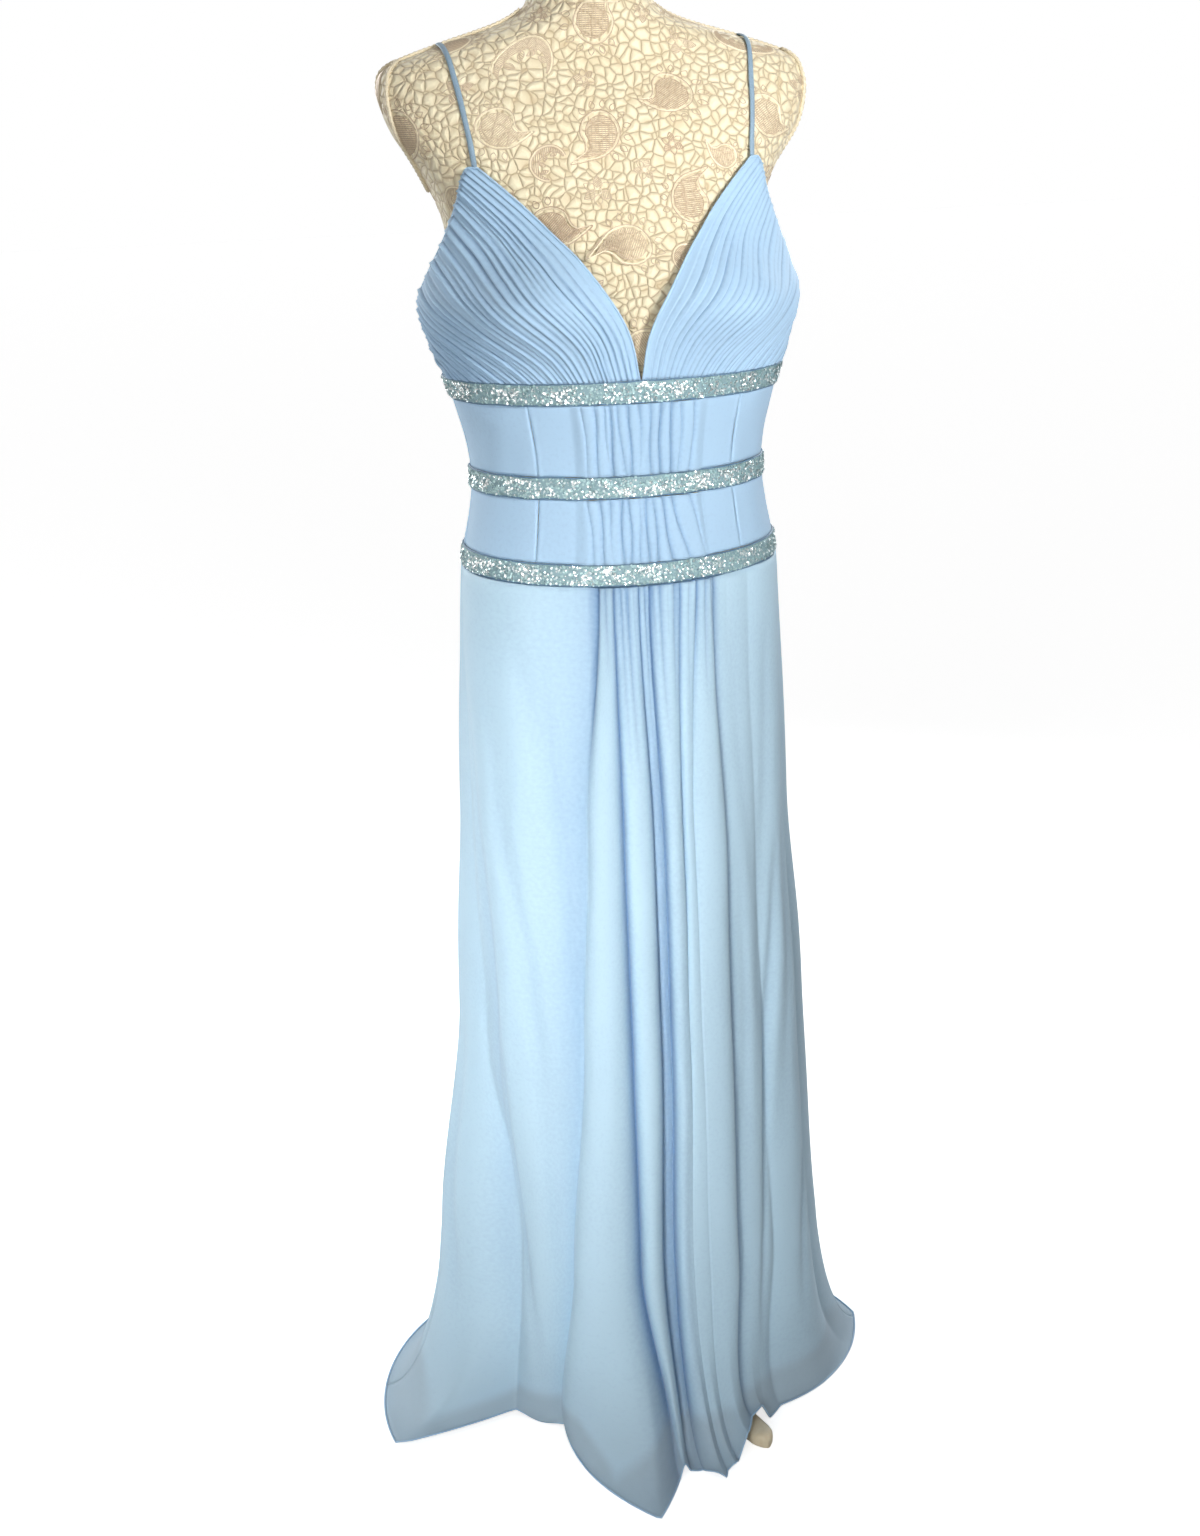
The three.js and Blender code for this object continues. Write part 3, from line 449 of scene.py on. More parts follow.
def new_object(name, vertices, faces, material, smooth=True):
    mesh = bpy.data.meshes.new(name)
    mesh.from_pydata(np.asarray(vertices).tolist(), [], faces)
    mesh.materials.append(material)
    mesh.polygons.foreach_set("use_smooth", [smooth] * len(mesh.polygons))
    mesh.validate()
    piece = bpy.data.objects.new(name, mesh)
    bpy.context.scene.collection.objects.link(piece)
    return piece


def settle(piece, slot, *nodes):
    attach(piece, BODY)
    if nodes:
        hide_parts(*nodes)
    return piece


def arc_lengths(grid):
    """How far along the cloth each column and each row lies, in millimetres."""
    across = np.linalg.norm(np.diff(grid, axis=0), axis=2)
    up = np.linalg.norm(np.diff(grid, axis=1), axis=2)
    return across, up


def grid_piece(name, grid, material, ring=False, marks=None):
    """A smooth sheet through a grid of points [column][row], with its cloth lengths as UVs in metres."""
    columns, rows = grid.shape[:2]
    turns = columns if ring else columns - 1
    faces = []
    for i in range(turns):
        a, b = i * rows, ((i + 1) % columns) * rows
        faces += [(a + j, b + j, b + j + 1, a + j + 1) for j in range(rows - 1)]
    piece = new_object(name, place(grid.reshape(-1, 3)), faces, material)
    mesh = piece.data
    across, up = arc_lengths(grid)
    u = np.concatenate(([0], np.cumsum(across.mean(axis=1)))) * MM
    v = np.concatenate(([0], np.cumsum(up.mean(axis=0)))) * MM
    loops = np.empty(len(mesh.loops), dtype=int)
    mesh.loops.foreach_get("vertex_index", loops)
    uv = mesh.uv_layers.new(name="cloth")
    uv.data.foreach_set("uv", np.stack((u[loops // rows], v[loops % rows]), axis=1).ravel())
    for label, values in (marks or {}).items():
        layer = mesh.attributes.new(label, "FLOAT", "POINT")
        layer.data.foreach_set("value", np.broadcast_to(values, (columns, rows)).ravel())
    return piece


def thicken(piece, thick):
    shell = piece.modifiers.new("cloth thickness", "SOLIDIFY")
    shell.thickness = thick * MM
    shell.offset = -1
    shell.use_even_offset = False
    return piece


def cut(piece, grid):
    across, up = arc_lengths(grid)
    width = across.sum(axis=0).max() * MM
    length = up.sum(axis=1).max() * MM
    a, b = grid[1:, 1:] - grid[:-1, :-1], grid[1:, :-1] - grid[:-1, 1:]
    area = np.linalg.norm(np.cross(a, b), axis=2).sum() / 2 * MM * MM
    area = min(area, width * length)


def rolled(name, rings, material, closed=False, inside_out=False):
    """A closed skin over rings of points, each [ring][point], in millimetres."""
    count, sides = rings.shape[:2]
    faces = []
    for i in range(count if closed else count - 1):
        a, b = i * sides, ((i + 1) % count) * sides
        faces += [(a + k, a + (k + 1) % sides, b + (k + 1) % sides, b + k) for k in range(sides)]
    if not closed:
        faces += [tuple(range(sides))[::-1], tuple((count - 1) * sides + k for k in range(sides))]
    if inside_out:
        faces = [(face[0], *face[:0:-1]) for face in faces]
    return new_object(name, place(rings.reshape(-1, 3)), faces, material)


def tube(name, line, radius, material, sides=8, closed=False):
    """A round roll along a line of points in millimetres."""
    line = np.asarray(line, dtype=float)
    ahead = np.roll(line, -1, axis=0) - np.roll(line, 1, axis=0)
    if not closed:
        ahead[0], ahead[-1] = line[1] - line[0], line[-1] - line[-2]
    ahead = unit(ahead)
    guide = np.array((0, 0, 1.0)) if abs(ahead[:, 2]).mean() < 0.8 else np.array((0, 1.0, 0))
    side = unit(np.cross(ahead, guide))
    up = np.cross(side, ahead)
    turn = (np.arange(sides) * 2 * math.pi / sides)[None, :, None]
    rings = line[:, None] + radius * (side[:, None] * np.cos(turn) + up[:, None] * np.sin(turn))
    return rolled(name, rings, material, closed)


# Shader groups that several materials share


def new_group(name, inputs, outputs):
    group = bpy.data.node_groups.new(name, "ShaderNodeTree")
    for label, kind, value in inputs:
        socket = group.interface.new_socket(label, in_out="INPUT", socket_type=kind)
        if value is not None:
            socket.default_value = value
    for label, kind in outputs:
        group.interface.new_socket(label, in_out="OUTPUT", socket_type=kind)
    return group, group.nodes.new("NodeGroupInput"), group.nodes.new("NodeGroupOutput")


def node(tree, kind, **settings):
    made = tree.nodes.new(kind)
    for key, value in settings.items():
        setattr(made, key, value)
    return made


def math_node(tree, operation, a, b=None, clamp=False):
    made = node(tree, "ShaderNodeMath", operation=operation, use_clamp=clamp)
    for socket, value in zip(made.inputs, (a, b)):
        if value is None:
            continue
        if isinstance(value, (int, float)):
            socket.default_value = value
        else:
            tree.links.new(value, socket)
    return made.outputs[0]


def noise(tree, scale, detail=2.0, vector=None):
    """Cloudy unevenness in the piece's own space, or along a given vector."""
    made = node(tree, "ShaderNodeTexNoise")
    made.inputs["Scale"].default_value = scale
    made.inputs["Detail"].default_value = detail
    vector = vector or node(tree, "ShaderNodeTexCoord").outputs["Object"]
    tree.links.new(vector, made.inputs["Vector"])
    return made.outputs["Fac"]


def blend(tree, amount, low, high):
    """From one colour to another; each is a colour or comes from another node."""
    made = node(tree, "ShaderNodeMix", data_type="RGBA")
    for label, value in (("Factor", amount), ("A", low), ("B", high)):
        if isinstance(value, tuple):
            made.inputs[label].default_value = (*value, 1)
        else:
            tree.links.new(value, made.inputs[label])
    return made.outputs["Result"]


def ranged(tree, value, low=0.0, high=1.0, full_at=1.0, **settings):
    made = node(tree, "ShaderNodeMapRange", **settings)
    for label, number in (("From Max", full_at), ("To Min", low), ("To Max", high)):
        made.inputs[label].default_value = number
    tree.links.new(value, made.inputs["Value"])
    return made.outputs["Result"]


def marked(tree, label):
    """A value that the mesh carries at each point."""
    return node(tree, "ShaderNodeAttribute", attribute_name=label).outputs["Fac"]


def weave_group():
    """Crossing threads: a height for the bump and a mask of the yarn's cloudy unevenness."""
    group, inlet, outlet = new_group(
        "woven threads",
        [
            ("Vector", "NodeSocketVector", None),
            ("Threads", "NodeSocketFloat", 900),
            ("Uneven", "NodeSocketFloat", 0.3),
        ],
        [("Height", "NodeSocketFloat"), ("Slub", "NodeSocketFloat")],
    )
    link = group.links.new
    split = node(group, "ShaderNodeSeparateXYZ")
    link(inlet.outputs["Vector"], split.inputs[0])
    threads = []
    for axis in ("X", "Y"):
        scaled = math_node(group, "MULTIPLY", split.outputs[axis], inlet.outputs["Threads"])
        threads.append(math_node(group, "SINE", math_node(group, "MULTIPLY", scaled, 2 * math.pi)))
    crossed = math_node(group, "MULTIPLY", threads[0], threads[1])
    slub = noise(group, 260, 3, inlet.outputs["Vector"])
    uneven = math_node(group, "MULTIPLY", slub, inlet.outputs["Uneven"])
    link(math_node(group, "ADD", math_node(group, "MULTIPLY", crossed, 0.5), uneven), outlet.inputs["Height"])
    link(slub, outlet.inputs["Slub"])
    return group


def shade_group():
    """The cloth's tone and a darker painted shade tone, mixed by the fold mark, which paints shade into folds
    and valleys, and by a soft cloudiness.
    """
    group, inlet, outlet = new_group(
        "painted fold shade and tone",
        [
            ("Light", "NodeSocketColor", (0.5, 0.7, 0.9, 1)),
            ("Deep", "NodeSocketColor", (0.2, 0.35, 0.6, 1)),
            ("Depth", "NodeSocketFloat", 0),
            ("Cloud", "NodeSocketFloat", 0.1),
        ],
        [("Color", "NodeSocketColor")],
    )
    middling = math_node(group, "SUBTRACT", noise(group, 7), 0.5)
    cloud = math_node(group, "MULTIPLY", middling, inlet.outputs["Cloud"])
    amount = math_node(group, "ADD", inlet.outputs["Depth"], cloud, clamp=True)
    tone = blend(group, amount, inlet.outputs["Light"], inlet.outputs["Deep"])
    group.links.new(tone, outlet.inputs["Color"])
    return group


WEAVE = weave_group()
TONES = shade_group()
YARN_UNEVEN = 0.3
SLUB_TONE = 0.32


def new_material(name, **values):
    material = bpy.data.materials.new(name)
    material.use_nodes = True
    tree = material.node_tree
    shader = tree.nodes["Principled BSDF"]
    for label, value in values.items():
        shader.inputs[label.replace("_", " ")].default_value = value
    return material, tree, shader


def use_group(tree, group, **values):
    made = node(tree, "ShaderNodeGroup", node_tree=group)
    for label, value in values.items():
        made.inputs[label].default_value = value
    return made


def add_bump(tree, shader, height, distance, strength=1.0):
    bump = node(tree, "ShaderNodeBump")
    bump.inputs["Strength"].default_value = strength
    bump.inputs["Distance"].default_value = distance
    tree.links.new(height, bump.inputs["Height"])
    tree.links.new(bump.outputs["Normal"], shader.inputs["Normal"])


def cloth_material(name, light, deep, threads, depth, cloud=0.15, **values):
    """Woven cloth whose tone darkens towards its deep colour as painted shade where the fold mark lies; the
    thread's own unevenness tints it too.
    """
    material, tree, shader = new_material(name, **values)
    tones = use_group(tree, TONES, Light=(*light, 1), Deep=(*deep, 1), Cloud=cloud)
    tree.links.new(tones.outputs["Color"], shader.inputs["Base Color"])
    where = node(tree, "ShaderNodeUVMap", uv_map="cloth")
    weave = use_group(tree, WEAVE, Threads=threads, Uneven=YARN_UNEVEN)
    tree.links.new(where.outputs["UV"], weave.inputs["Vector"])
    add_bump(tree, shader, weave.outputs["Height"], depth)
    slub = math_node(tree, "MULTIPLY", math_node(tree, "SUBTRACT", weave.outputs["Slub"], 0.5), SLUB_TONE)
    # The fold mark paints shade: it mixes in the deep colour in folds and valleys.
    tree.links.new(math_node(tree, "ADD", marked(tree, "fold"), slub), tones.inputs["Depth"])
    return material


# Cloth colours; the deep ones are painted shade, mixed in by the fold mark in the valleys of folds and
# pleats.
CHIFFON_LIGHT = (0.44, 0.64, 0.84)
SKIRT_LIGHT = (0.56, 0.78, 0.93)
CHIFFON_PAINTED_SHADE = (0.15, 0.29, 0.53)
PLEAT_PAINTED_SHADE = (0.07, 0.16, 0.32)
# Painted shade: the grey that the sheer hem takes where the dim inside of the skirt shows through.
HEM_PAINTED_SHADE = (0.42, 0.54, 0.64)


CHIFFON_SHEEN = {"Sheen_Weight": 0.2, "Sheen_Roughness": 0.45, "Sheen_Tint": (0.8, 0.9, 1, 1)}


def bodice_chiffon():
    return cloth_material(
        "bodice chiffon", CHIFFON_LIGHT, PLEAT_PAINTED_SHADE, 1100, 0.00012, Roughness=0.66, **CHIFFON_SHEEN,
    )


def skirt_chiffon():
    """Chiffon that lets light through towards the hem, where nothing blue lies behind it; there it is also
    greyed as painted shade for the dim inside of the skirt.
    """
    material = cloth_material(
        "skirt chiffon", SKIRT_LIGHT, CHIFFON_PAINTED_SHADE, 900, 0.00012,
        Roughness=0.64, **CHIFFON_SHEEN,
    )
    tree = material.node_tree
    shader = tree.nodes["Principled BSDF"]
    sheer_and_shade = marked(tree, "sheer_and_shade")
    tree.links.new(ranged(tree, sheer_and_shade, 0.95, 0.8), shader.inputs["Alpha"])
    toned_and_fold_shaded = shader.inputs["Base Color"].links[0].from_socket
    # Painted shade: the sheer hem is greyed where the skirt's dim inside shows through.
    hem_shade = blend(tree, math_node(tree, "MULTIPLY", sheer_and_shade, 0.75), toned_and_fold_shaded, HEM_PAINTED_SHADE)
    tree.links.new(hem_shade, shader.inputs["Base Color"])
    return material


def lining_satin():
    return cloth_material(
        "lining satin", (0.36, 0.6, 0.9), (0.2, 0.42, 0.75), 1400, 0.00005,
        Roughness=0.42, Specular_IOR_Level=0.6,
    )


def band_net():
    return cloth_material(
        "band net", (0.33, 0.48, 0.52), (0.2, 0.33, 0.38), 500, 0.0003, Roughness=0.6,
    )


def tinted_metal(name, low, high, roughness, metallic):
    """Each sequin or bead takes its own tone between two."""
    material, tree, shader = new_material(name, Roughness=roughness, Metallic=metallic)
    tint = marked(tree, "tint")
    tree.links.new(blend(tree, tint, low, high), shader.inputs["Base Color"])
    tree.links.new(ranged(tree, tint, roughness * 0.7, roughness * 1.5), shader.inputs["Roughness"])
    return material


def brocade():
    """Cream cloth raised in small puffed pebbles with tan outlines; each pebble turns softly tan towards its
    rim as painted shade.
    """
    material, tree, shader = new_material("form brocade", Roughness=0.6, Sheen_Weight=0.3)
    link = tree.links.new
    where = node(tree, "ShaderNodeTexCoord").outputs["Object"]
    bend = node(tree, "ShaderNodeTexNoise")
    bend.inputs["Scale"].default_value = 38
    bend.inputs["Detail"].default_value = 1
    link(where, bend.inputs["Vector"])
    shift = node(tree, "ShaderNodeVectorMath", operation="SCALE")
    link(bend.outputs["Color"], shift.inputs[0])
    shift.inputs["Scale"].default_value = 0.014
    moved = node(tree, "ShaderNodeVectorMath", operation="ADD")
    link(where, moved.inputs[0])
    link(shift.outputs["Vector"], moved.inputs[1])
    cells = node(tree, "ShaderNodeTexVoronoi", feature="DISTANCE_TO_EDGE")
    cells.inputs["Scale"].default_value = 104
    cells.inputs["Randomness"].default_value = 0.85
    link(moved.outputs["Vector"], cells.inputs["Vector"])
    from_edge = cells.outputs["Distance"]
    # Painted shade: besides the thin tan outline, each pebble's colour darkens softly towards its rim.
    puff_painted_shade = ranged(tree, from_edge, 0.45, 1.0, 0.32, interpolation_type="SMOOTHSTEP")
    raised = math_node(tree, "MULTIPLY", ranged(tree, from_edge, full_at=0.055), puff_painted_shade)
    ground = blend(tree, noise(tree, 16, vector=where), (0.88, 0.76, 0.5), (0.98, 0.91, 0.68))
    link(blend(tree, raised, (0.64, 0.5, 0.3), ground), shader.inputs["Base Color"])
    fine = math_node(tree, "MULTIPLY", noise(tree, 420, 4, where), 0.18)
    add_bump(tree, shader, math_node(tree, "ADD", math_node(tree, "SQRT", from_edge), fine), 0.0035, 0.9)
    return material


def grained(name, low, high, grain_of, bump, strength=1.0, tinted=False, **values):
    """A finish between two tones, mixed by its own fine grain, which also raises it."""
    material, tree, shader = new_material(name, **values)
    grain = grain_of(tree)
    amount = grain
    if tinted:
        speckle = math_node(tree, "MULTIPLY", math_node(tree, "SUBTRACT", grain, 0.5), 0.5)
        amount = math_node(tree, "ADD", marked(tree, "tint"), speckle, clamp=True)
    tree.links.new(blend(tree, amount, low, high), shader.inputs["Base Color"])
    add_bump(tree, shader, grain, bump, strength)
    return material


def thread_material(name, colour, roughness=0.5):
    """Twisted or satin-stitched thread with a fine grain."""
    low = tuple(c * 0.7 for c in colour)
    high = tuple(min(1, c * 1.2) for c in colour)
    return grained(name, low, high, lambda tree: noise(tree, 900), 0.0003, Roughness=roughness)


def tinted_thread(name, low, high):
    """Embroidery silk: each motif has its own tone and a soft lustre."""
    return grained(
        name, low, high, lambda tree: noise(tree, 700), 0.0002, tinted=True, Roughness=0.42, Metallic=0.15,
    )


def stand_wood():
    def long_grain(tree):
        stretch = node(tree, "ShaderNodeMapping")
        stretch.inputs["Scale"].default_value = (60, 60, 9)
        tree.links.new(node(tree, "ShaderNodeTexCoord").outputs["Object"], stretch.inputs["Vector"])
        return noise(tree, 4, 6, stretch.outputs["Vector"])

    return grained(
        "lacquered beech", (0.8, 0.64, 0.4), (0.93, 0.83, 0.62), long_grain, 0.0002, 0.5,
        Roughness=0.35, Coat_Weight=0.3,
    )


def zip_enamel():
    return grained(
        "zip enamel", (0.38, 0.55, 0.78), (0.55, 0.7, 0.88), lambda tree: noise(tree, 300), 0.0001, 0.4,
        Roughness=0.3, Metallic=0.4,
    )


# Bodice


def pleat_ridge(count):
    """Height of the pleats: each rises slowly and then drops over the next one."""
    across = count % 1
    return np.where(across < PLEAT_CREST, across / PLEAT_CREST, (1 - across) / (1 - PLEAT_CREST)) ** 0.8


def cup_grid(sign, along, up, raised=True):
    along, up = np.meshgrid(along, up, indexing="ij")
    low = mix(CUP_CENTRE_GAP, CUP_SIDE, along)
    high = read(ARM_EDGE, "angle", along, "along")
    neck = read(NECK_EDGE, "angle", mix(CUP_BOTTOM, CUP_TOP, up)) - CUP_CENTRE_GAP
    bend = mix(up, neck / (NECK_EDGE["angle"][-1] - CUP_CENTRE_GAP), (1 - along) ** 1.2)
    z = mix(CUP_BOTTOM, read(ARM_EDGE, "z", along, "along"), up)
    angle = sign * np.radians(mix(low, high, bend))
    loose = np.clip(along * 1.6 - 0.3, 0.25, 1)
    wander = 0.5 * loose * waves(along * 300, up * 90, 31 + sign, 62) * np.sin(np.pi * up)
    drift = 0.35 * waves(along * 300, up * 10, 57 + sign, 40)
    count = along * PLEATS + wander + drift
    ridge = pleat_ridge(count)
    number = np.floor(count)
    strength = 0.75 + 0.35 * np.sin(number * 2.4 + sign) + 0.35 * waves(number * 30, up * 130, 7 + sign, 95)
    strength = np.clip(strength, 0.35, 1.3) * (0.75 if sign > 0 else 1)
    inside = np.clip((along - 0.6 * PLAIN_EDGE) / PLAIN_EDGE, 0, 1) * np.clip((1 - along) / 0.02, 0, 1)
    inside = inside * np.clip((PLAIN_SIDE[sign] - along) / 0.05, 0, 1)
    relief = PLEAT_HEIGHT * strength * inside * (ridge if raised else 0)
    sag = 1.6 * loose * waves(along * 200, up * 120, 77 + sign, 85) * np.sin(np.pi * up) * inside
    # The fold mark paints shade into each pleat's valley, and on the right cup also over its outer part
    # towards the arm.
    fold = np.clip(1 - ridge / 0.62, 0, 1) ** 1.2 * np.clip(strength, 0, 1) * inside * (0.75 + 0.25 * loose)
    fold = fold + (0.16 * np.clip(along * 1.6 - 0.7, 0, 1) if sign < 0 else 0)
    return bodice_point(angle, z, relief + (sag if raised else 0)), np.clip(fold, 0, 1)


def make_cup(name, sign, material, edge_material):
    up = steps(52)
    along = steps(PLEATS * 6)[::sign]
    grid, fold = cup_grid(sign, along, up)
    cup = thicken(grid_piece(name + "_pleated", grid, material, marks={"fold": fold}), PANEL_THICK)
    settle(cup, "chiffon", name)
    neck_line = cup_grid(sign, np.array([0.004]), steps(60), raised=False)[0][0] + np.array((0, -0.4, 0))
    arm_line = cup_grid(sign, np.linspace(0, 0.62, 60), np.array([1.0]), raised=False)[0][:, 0]
    line = np.concatenate((neck_line, arm_line[1:]))
    edge = settle(tube(name + "_edge", line, 1.1, edge_material, sides=8), "chiffon")
    cut(cup, grid)


def band_edge(band, angle, side):
    centre, dip = BANDS[band]
    return centre - dip * np.cos(angle) + side * BAND_HEIGHT / 2


def back_edge(angle):
    t = (np.abs(angle) - math.radians(SIDE_SEAM)) / math.radians(CENTRE_BACK - SIDE_SEAM)
    return mix(BACK_TOP_SIDE, BACK_TOP_CENTRE, np.minimum(1, t * 1.4))


def panel_grid(first, last, low, high, columns, rows, gaps, relief=None, seed=0):
    angle = np.radians(np.linspace(first, last, columns + 1))
    middle = (low(angle) + high(angle)) / 2
    radius = outline(BODICE, angle, middle)
    angle[0] += gaps[0] / radius[0]
    angle[-1] -= gaps[1] / radius[-1]
    share = steps(rows)
    z = low(angle)[:, None] + (high(angle) - low(angle))[:, None] * share
    wide = np.broadcast_to(angle[:, None], z.shape)
    out = 0.7 * waves(np.degrees(wide) * 2.4, z, seed, 60)
    for edge in (angle[0], angle[-1]):
        from_seam = np.abs(wide - edge) * radius[:, None]
        out = out - 0.5 * np.exp(-((from_seam / 1.2) ** 2)) + 0.35 * np.exp(-(((from_seam - 3.2) / 1.8) ** 2))
    fold = np.zeros_like(z)
    if relief:
        raised, fold = relief(np.degrees(wide), np.broadcast_to(share, z.shape))
        out = out + raised
    return bodice_point(wide, z, out), fold


def midriff_relief(gathers):
    def relief(angle, share):
        inside = np.clip((32 - np.abs(angle)) / 7, 0, 1)
        inside = inside * inside * (3 - 2 * inside)
        hollow = np.zeros_like(angle)
        for top, low, high_deep, low_deep in each_row(gathers):
            line = mix(low, top, share) + 0.5 * np.sin(share * 5 + top)
            deep = mix(low_deep, high_deep, share) / GATHER_HEIGHT
            wide = GATHER_SHARP * (0.7 + 1.1 * deep * np.abs(2 * share - 1) ** 3)
            near = np.exp(-((np.abs(angle - line) / wide) ** 1.2))
            hollow = np.maximum(hollow, near * np.minimum(1, deep * 1.25))
        # The second value is painted shade in the hollows of the gathers.
        return GATHER_HEIGHT * inside * (1 - hollow), np.clip(0.7 * hollow**1.6 * inside, 0, 1)

    return relief


def make_panel(name, first, last, low, high, columns, rows, gaps, material, relief=None, seed=0):
    grid, fold = panel_grid(first, last, low, high, columns, rows, gaps, relief, seed)
    panel = thicken(grid_piece(name + "_cloth", grid, material, marks={"fold": fold}), PANEL_THICK)
    settle(panel, "chiffon", name)
    cut(panel, grid)
    return panel


def make_midriff(row, lower, upper, gathers, material):
    def low(angle):
        return band_edge(lower, angle, 1) + SEAM

    def high(angle):
        return band_edge(upper, angle, -1) - SEAM

    half = (SEAM / 2, SEAM / 2)
    relief = midriff_relief(gathers)
    make_panel(row + "_front", -PRINCESS_SEAM, PRINCESS_SEAM, low, high, 380, 26, half, material, relief, 3)
    for side, sign in (("left", 1), ("right", -1)):
        edges = sorted((sign * PRINCESS_SEAM, sign * SIDE_SEAM))
        make_panel(f"{row}_side_{side}", *edges, low, high, 40, 20, half, material, None, 11 + sign)
        edges = sorted((sign * SIDE_SEAM, sign * CENTRE_BACK))
        gaps = (SEAM / 2, ZIP_HALF) if sign > 0 else (ZIP_HALF, SEAM / 2)
        make_panel(f"{row}_back_{side}", *edges, low, high, 80, 20, gaps, material, None, 17 + sign)


def make_top_backs(material):
    def low(angle):
        return band_edge("band_top", angle, 1) + SEAM

    for side, sign in (("left", 1), ("right", -1)):
        edges = sorted((sign * SIDE_SEAM, sign * CENTRE_BACK))
        gaps = (SEAM, ZIP_HALF) if sign > 0 else (ZIP_HALF, SEAM)
        name = f"top_back_{side}"
        panel = make_panel(name, *edges, low, back_edge, 80, 24, gaps, material, None, 23 + sign)
        angle = np.radians(np.linspace(edges[0] + 0.6, edges[1] - 0.6, 60))
        line = bodice_point(angle, back_edge(angle), -0.5)
        settle(tube(f"top_back_{side}_edge", line, 0.9, material), "chiffon").parent = panel


# Beaded bands


def scatter_on_band(count, seed, margin, grouped):
    """Where small things are sewn on a band, with three random draws for each."""
    draw = random.Random(seed)
    spots = []
    while len(spots) < count:
        turn, share = draw.uniform(-CENTRE_BACK + 1, CENTRE_BACK - 1), draw.uniform(-1, 1) * margin
        group = float(waves(turn, share * 5, seed, 16)) + 0.45 * float(waves(turn, share * 4, seed + 5, 4.5))
        if grouped and draw.random() > (0.18 + 1.1 * max(0, group)) * (1 - 0.55 * share * share):
            continue
        spots.append((math.radians(turn), share, draw.random(), draw.random(), draw.random()))
    return np.array(spots)


def band_surface(band, angle, share, out):
    centre, dip = BANDS[band]
    z = centre - dip * np.cos(angle) + share * BAND_HEIGHT / 2 + 0.6 * waves(np.degrees(angle), 0, centre, 17)
    return bodice_point(angle, z, out)


def stamped(name, shape, faces, spots, band, lift, size, tilt, material):
    """Many copies of one small shape over a band, joined in one mesh with a tone for each."""
    angle, share = spots[:, 0], spots[:, 1]
    here = band_surface(band, angle, share, lift[0] + (lift[1] - lift[0]) * spots[:, 2])

    def on_band(turned, higher):
        return band_surface(band, angle + turned, share + higher, lift[0])

    ahead = unit(on_band(0.004, 0) - on_band(-0.004, 0))
    upward = unit(on_band(0, 0.05) - on_band(0, -0.05))
    lean = (spots[:, 3:5] - 0.5) * tilt
    outward = unit(np.cross(ahead, upward) + ahead * lean[:, :1] + upward * lean[:, 1:])
    ahead = unit(np.cross(upward, outward))
    upward = np.cross(outward, ahead)
    scale = size[0] + (size[1] - size[0]) * spots[:, 4]
    shape = np.asarray(shape, dtype=float)
    local = shape[None] * scale[:, None, None]
    points = here[:, None] + local @ np.stack((ahead, upward, outward), axis=1)
    count, corners = len(spots), len(shape)
    all_faces = [tuple(k * corners + c for c in face) for k in range(count) for face in faces]
    piece = new_object(name, place(points.reshape(-1, 3)), all_faces, material, smooth=corners > 10)
    tint = piece.data.attributes.new("tint", "FLOAT", "POINT")
    tint.data.foreach_set("value", np.repeat(spots[:, 3], corners))
    return piece


def sequin_shape(sides=7):
    """A shallow cup with a hollow centre."""
    turn = np.arange(sides) * 2 * math.pi / sides
    rim = [(math.cos(a), math.sin(a), 0.18) for a in turn]
    faces = [(sides, k, (k + 1) % sides) for k in range(sides)]
    return [*rim, (0, 0, 0)], faces


def bead_shape():
    made = bmesh.new()
    bmesh.ops.create_icosphere(made, subdivisions=1, radius=1)
    corners = [tuple(v.co) for v in made.verts]
    faces = [tuple(v.index for v in face.verts) for face in made.faces]
    made.free()
    return corners, faces


def make_band(name, seed, net, sequin, bead, edge):
    angle = np.radians(np.linspace(-CENTRE_BACK, CENTRE_BACK, 241))
    gap = ZIP_HALF / outline(BODICE, angle[0], BANDS[name][0])
    angle[0] += gap
    angle[-1] -= gap
    share = np.linspace(-1, 1, 9)
    out = BAND_RISE * (1 - 0.5 * share**4)
    grid = band_surface(name, angle[:, None], share[None], out[None])
    band = thicken(grid_piece(name + "_net", grid, net, marks={"fold": 0.3}), 3)
    settle(band, "beaded_band", name)
    sequins = stamped(
        name + "_sequins", *sequin_shape(), scatter_on_band(1900, seed, 0.82, True),
        name, (2.2, 2.9), (0.65, 1.3), 1.1, sequin,
    )
    glass = stamped(
        name + "_dull_sequins", *sequin_shape(6), scatter_on_band(2900, seed + 2, 0.88, False),
        name, (1.6, 2.3), (0.8, 1.3), 0.7, bead[1],
    )
    beads = stamped(
        name + "_beads", *bead_shape(), scatter_on_band(900, seed + 1, 0.9, False),
        name, (1.9, 2.5), (0.45, 0.75), 0.2, bead[0],
    )
    extras = [sequins, glass, beads]
    # A cord along each edge; its dark blue also paints the thin shadow line along the band's edges.
    for side, label in ((-1, "lower"), (1, "upper")):
        line = band_surface(name, angle, np.full_like(angle, side * 0.96), 0.9)
        extras.append(tube(f"{name}_{label}_cord", line, 0.75, edge, sides=6))
    for extra in extras:
        settle(extra, "beaded_band")
    cut(band, grid)


# Straps


def leave_form(start, direction):
    near, far = 0.0, 400.0
    while far - near > 0.01:
        middle = (near + far) / 2
        x, y, z = start + direction * middle
        centre = float(read(FORM, "centre", z))
        angle = math.atan2(x, centre - y)
        r = float(outline(FORM, angle, z) + mound(FORM_BUST, angle, z))
        inside = z < FORM["z"][-1] and math.hypot(x, y - centre) < r
        near, far = (middle, far) if inside else (near, middle)
    return near


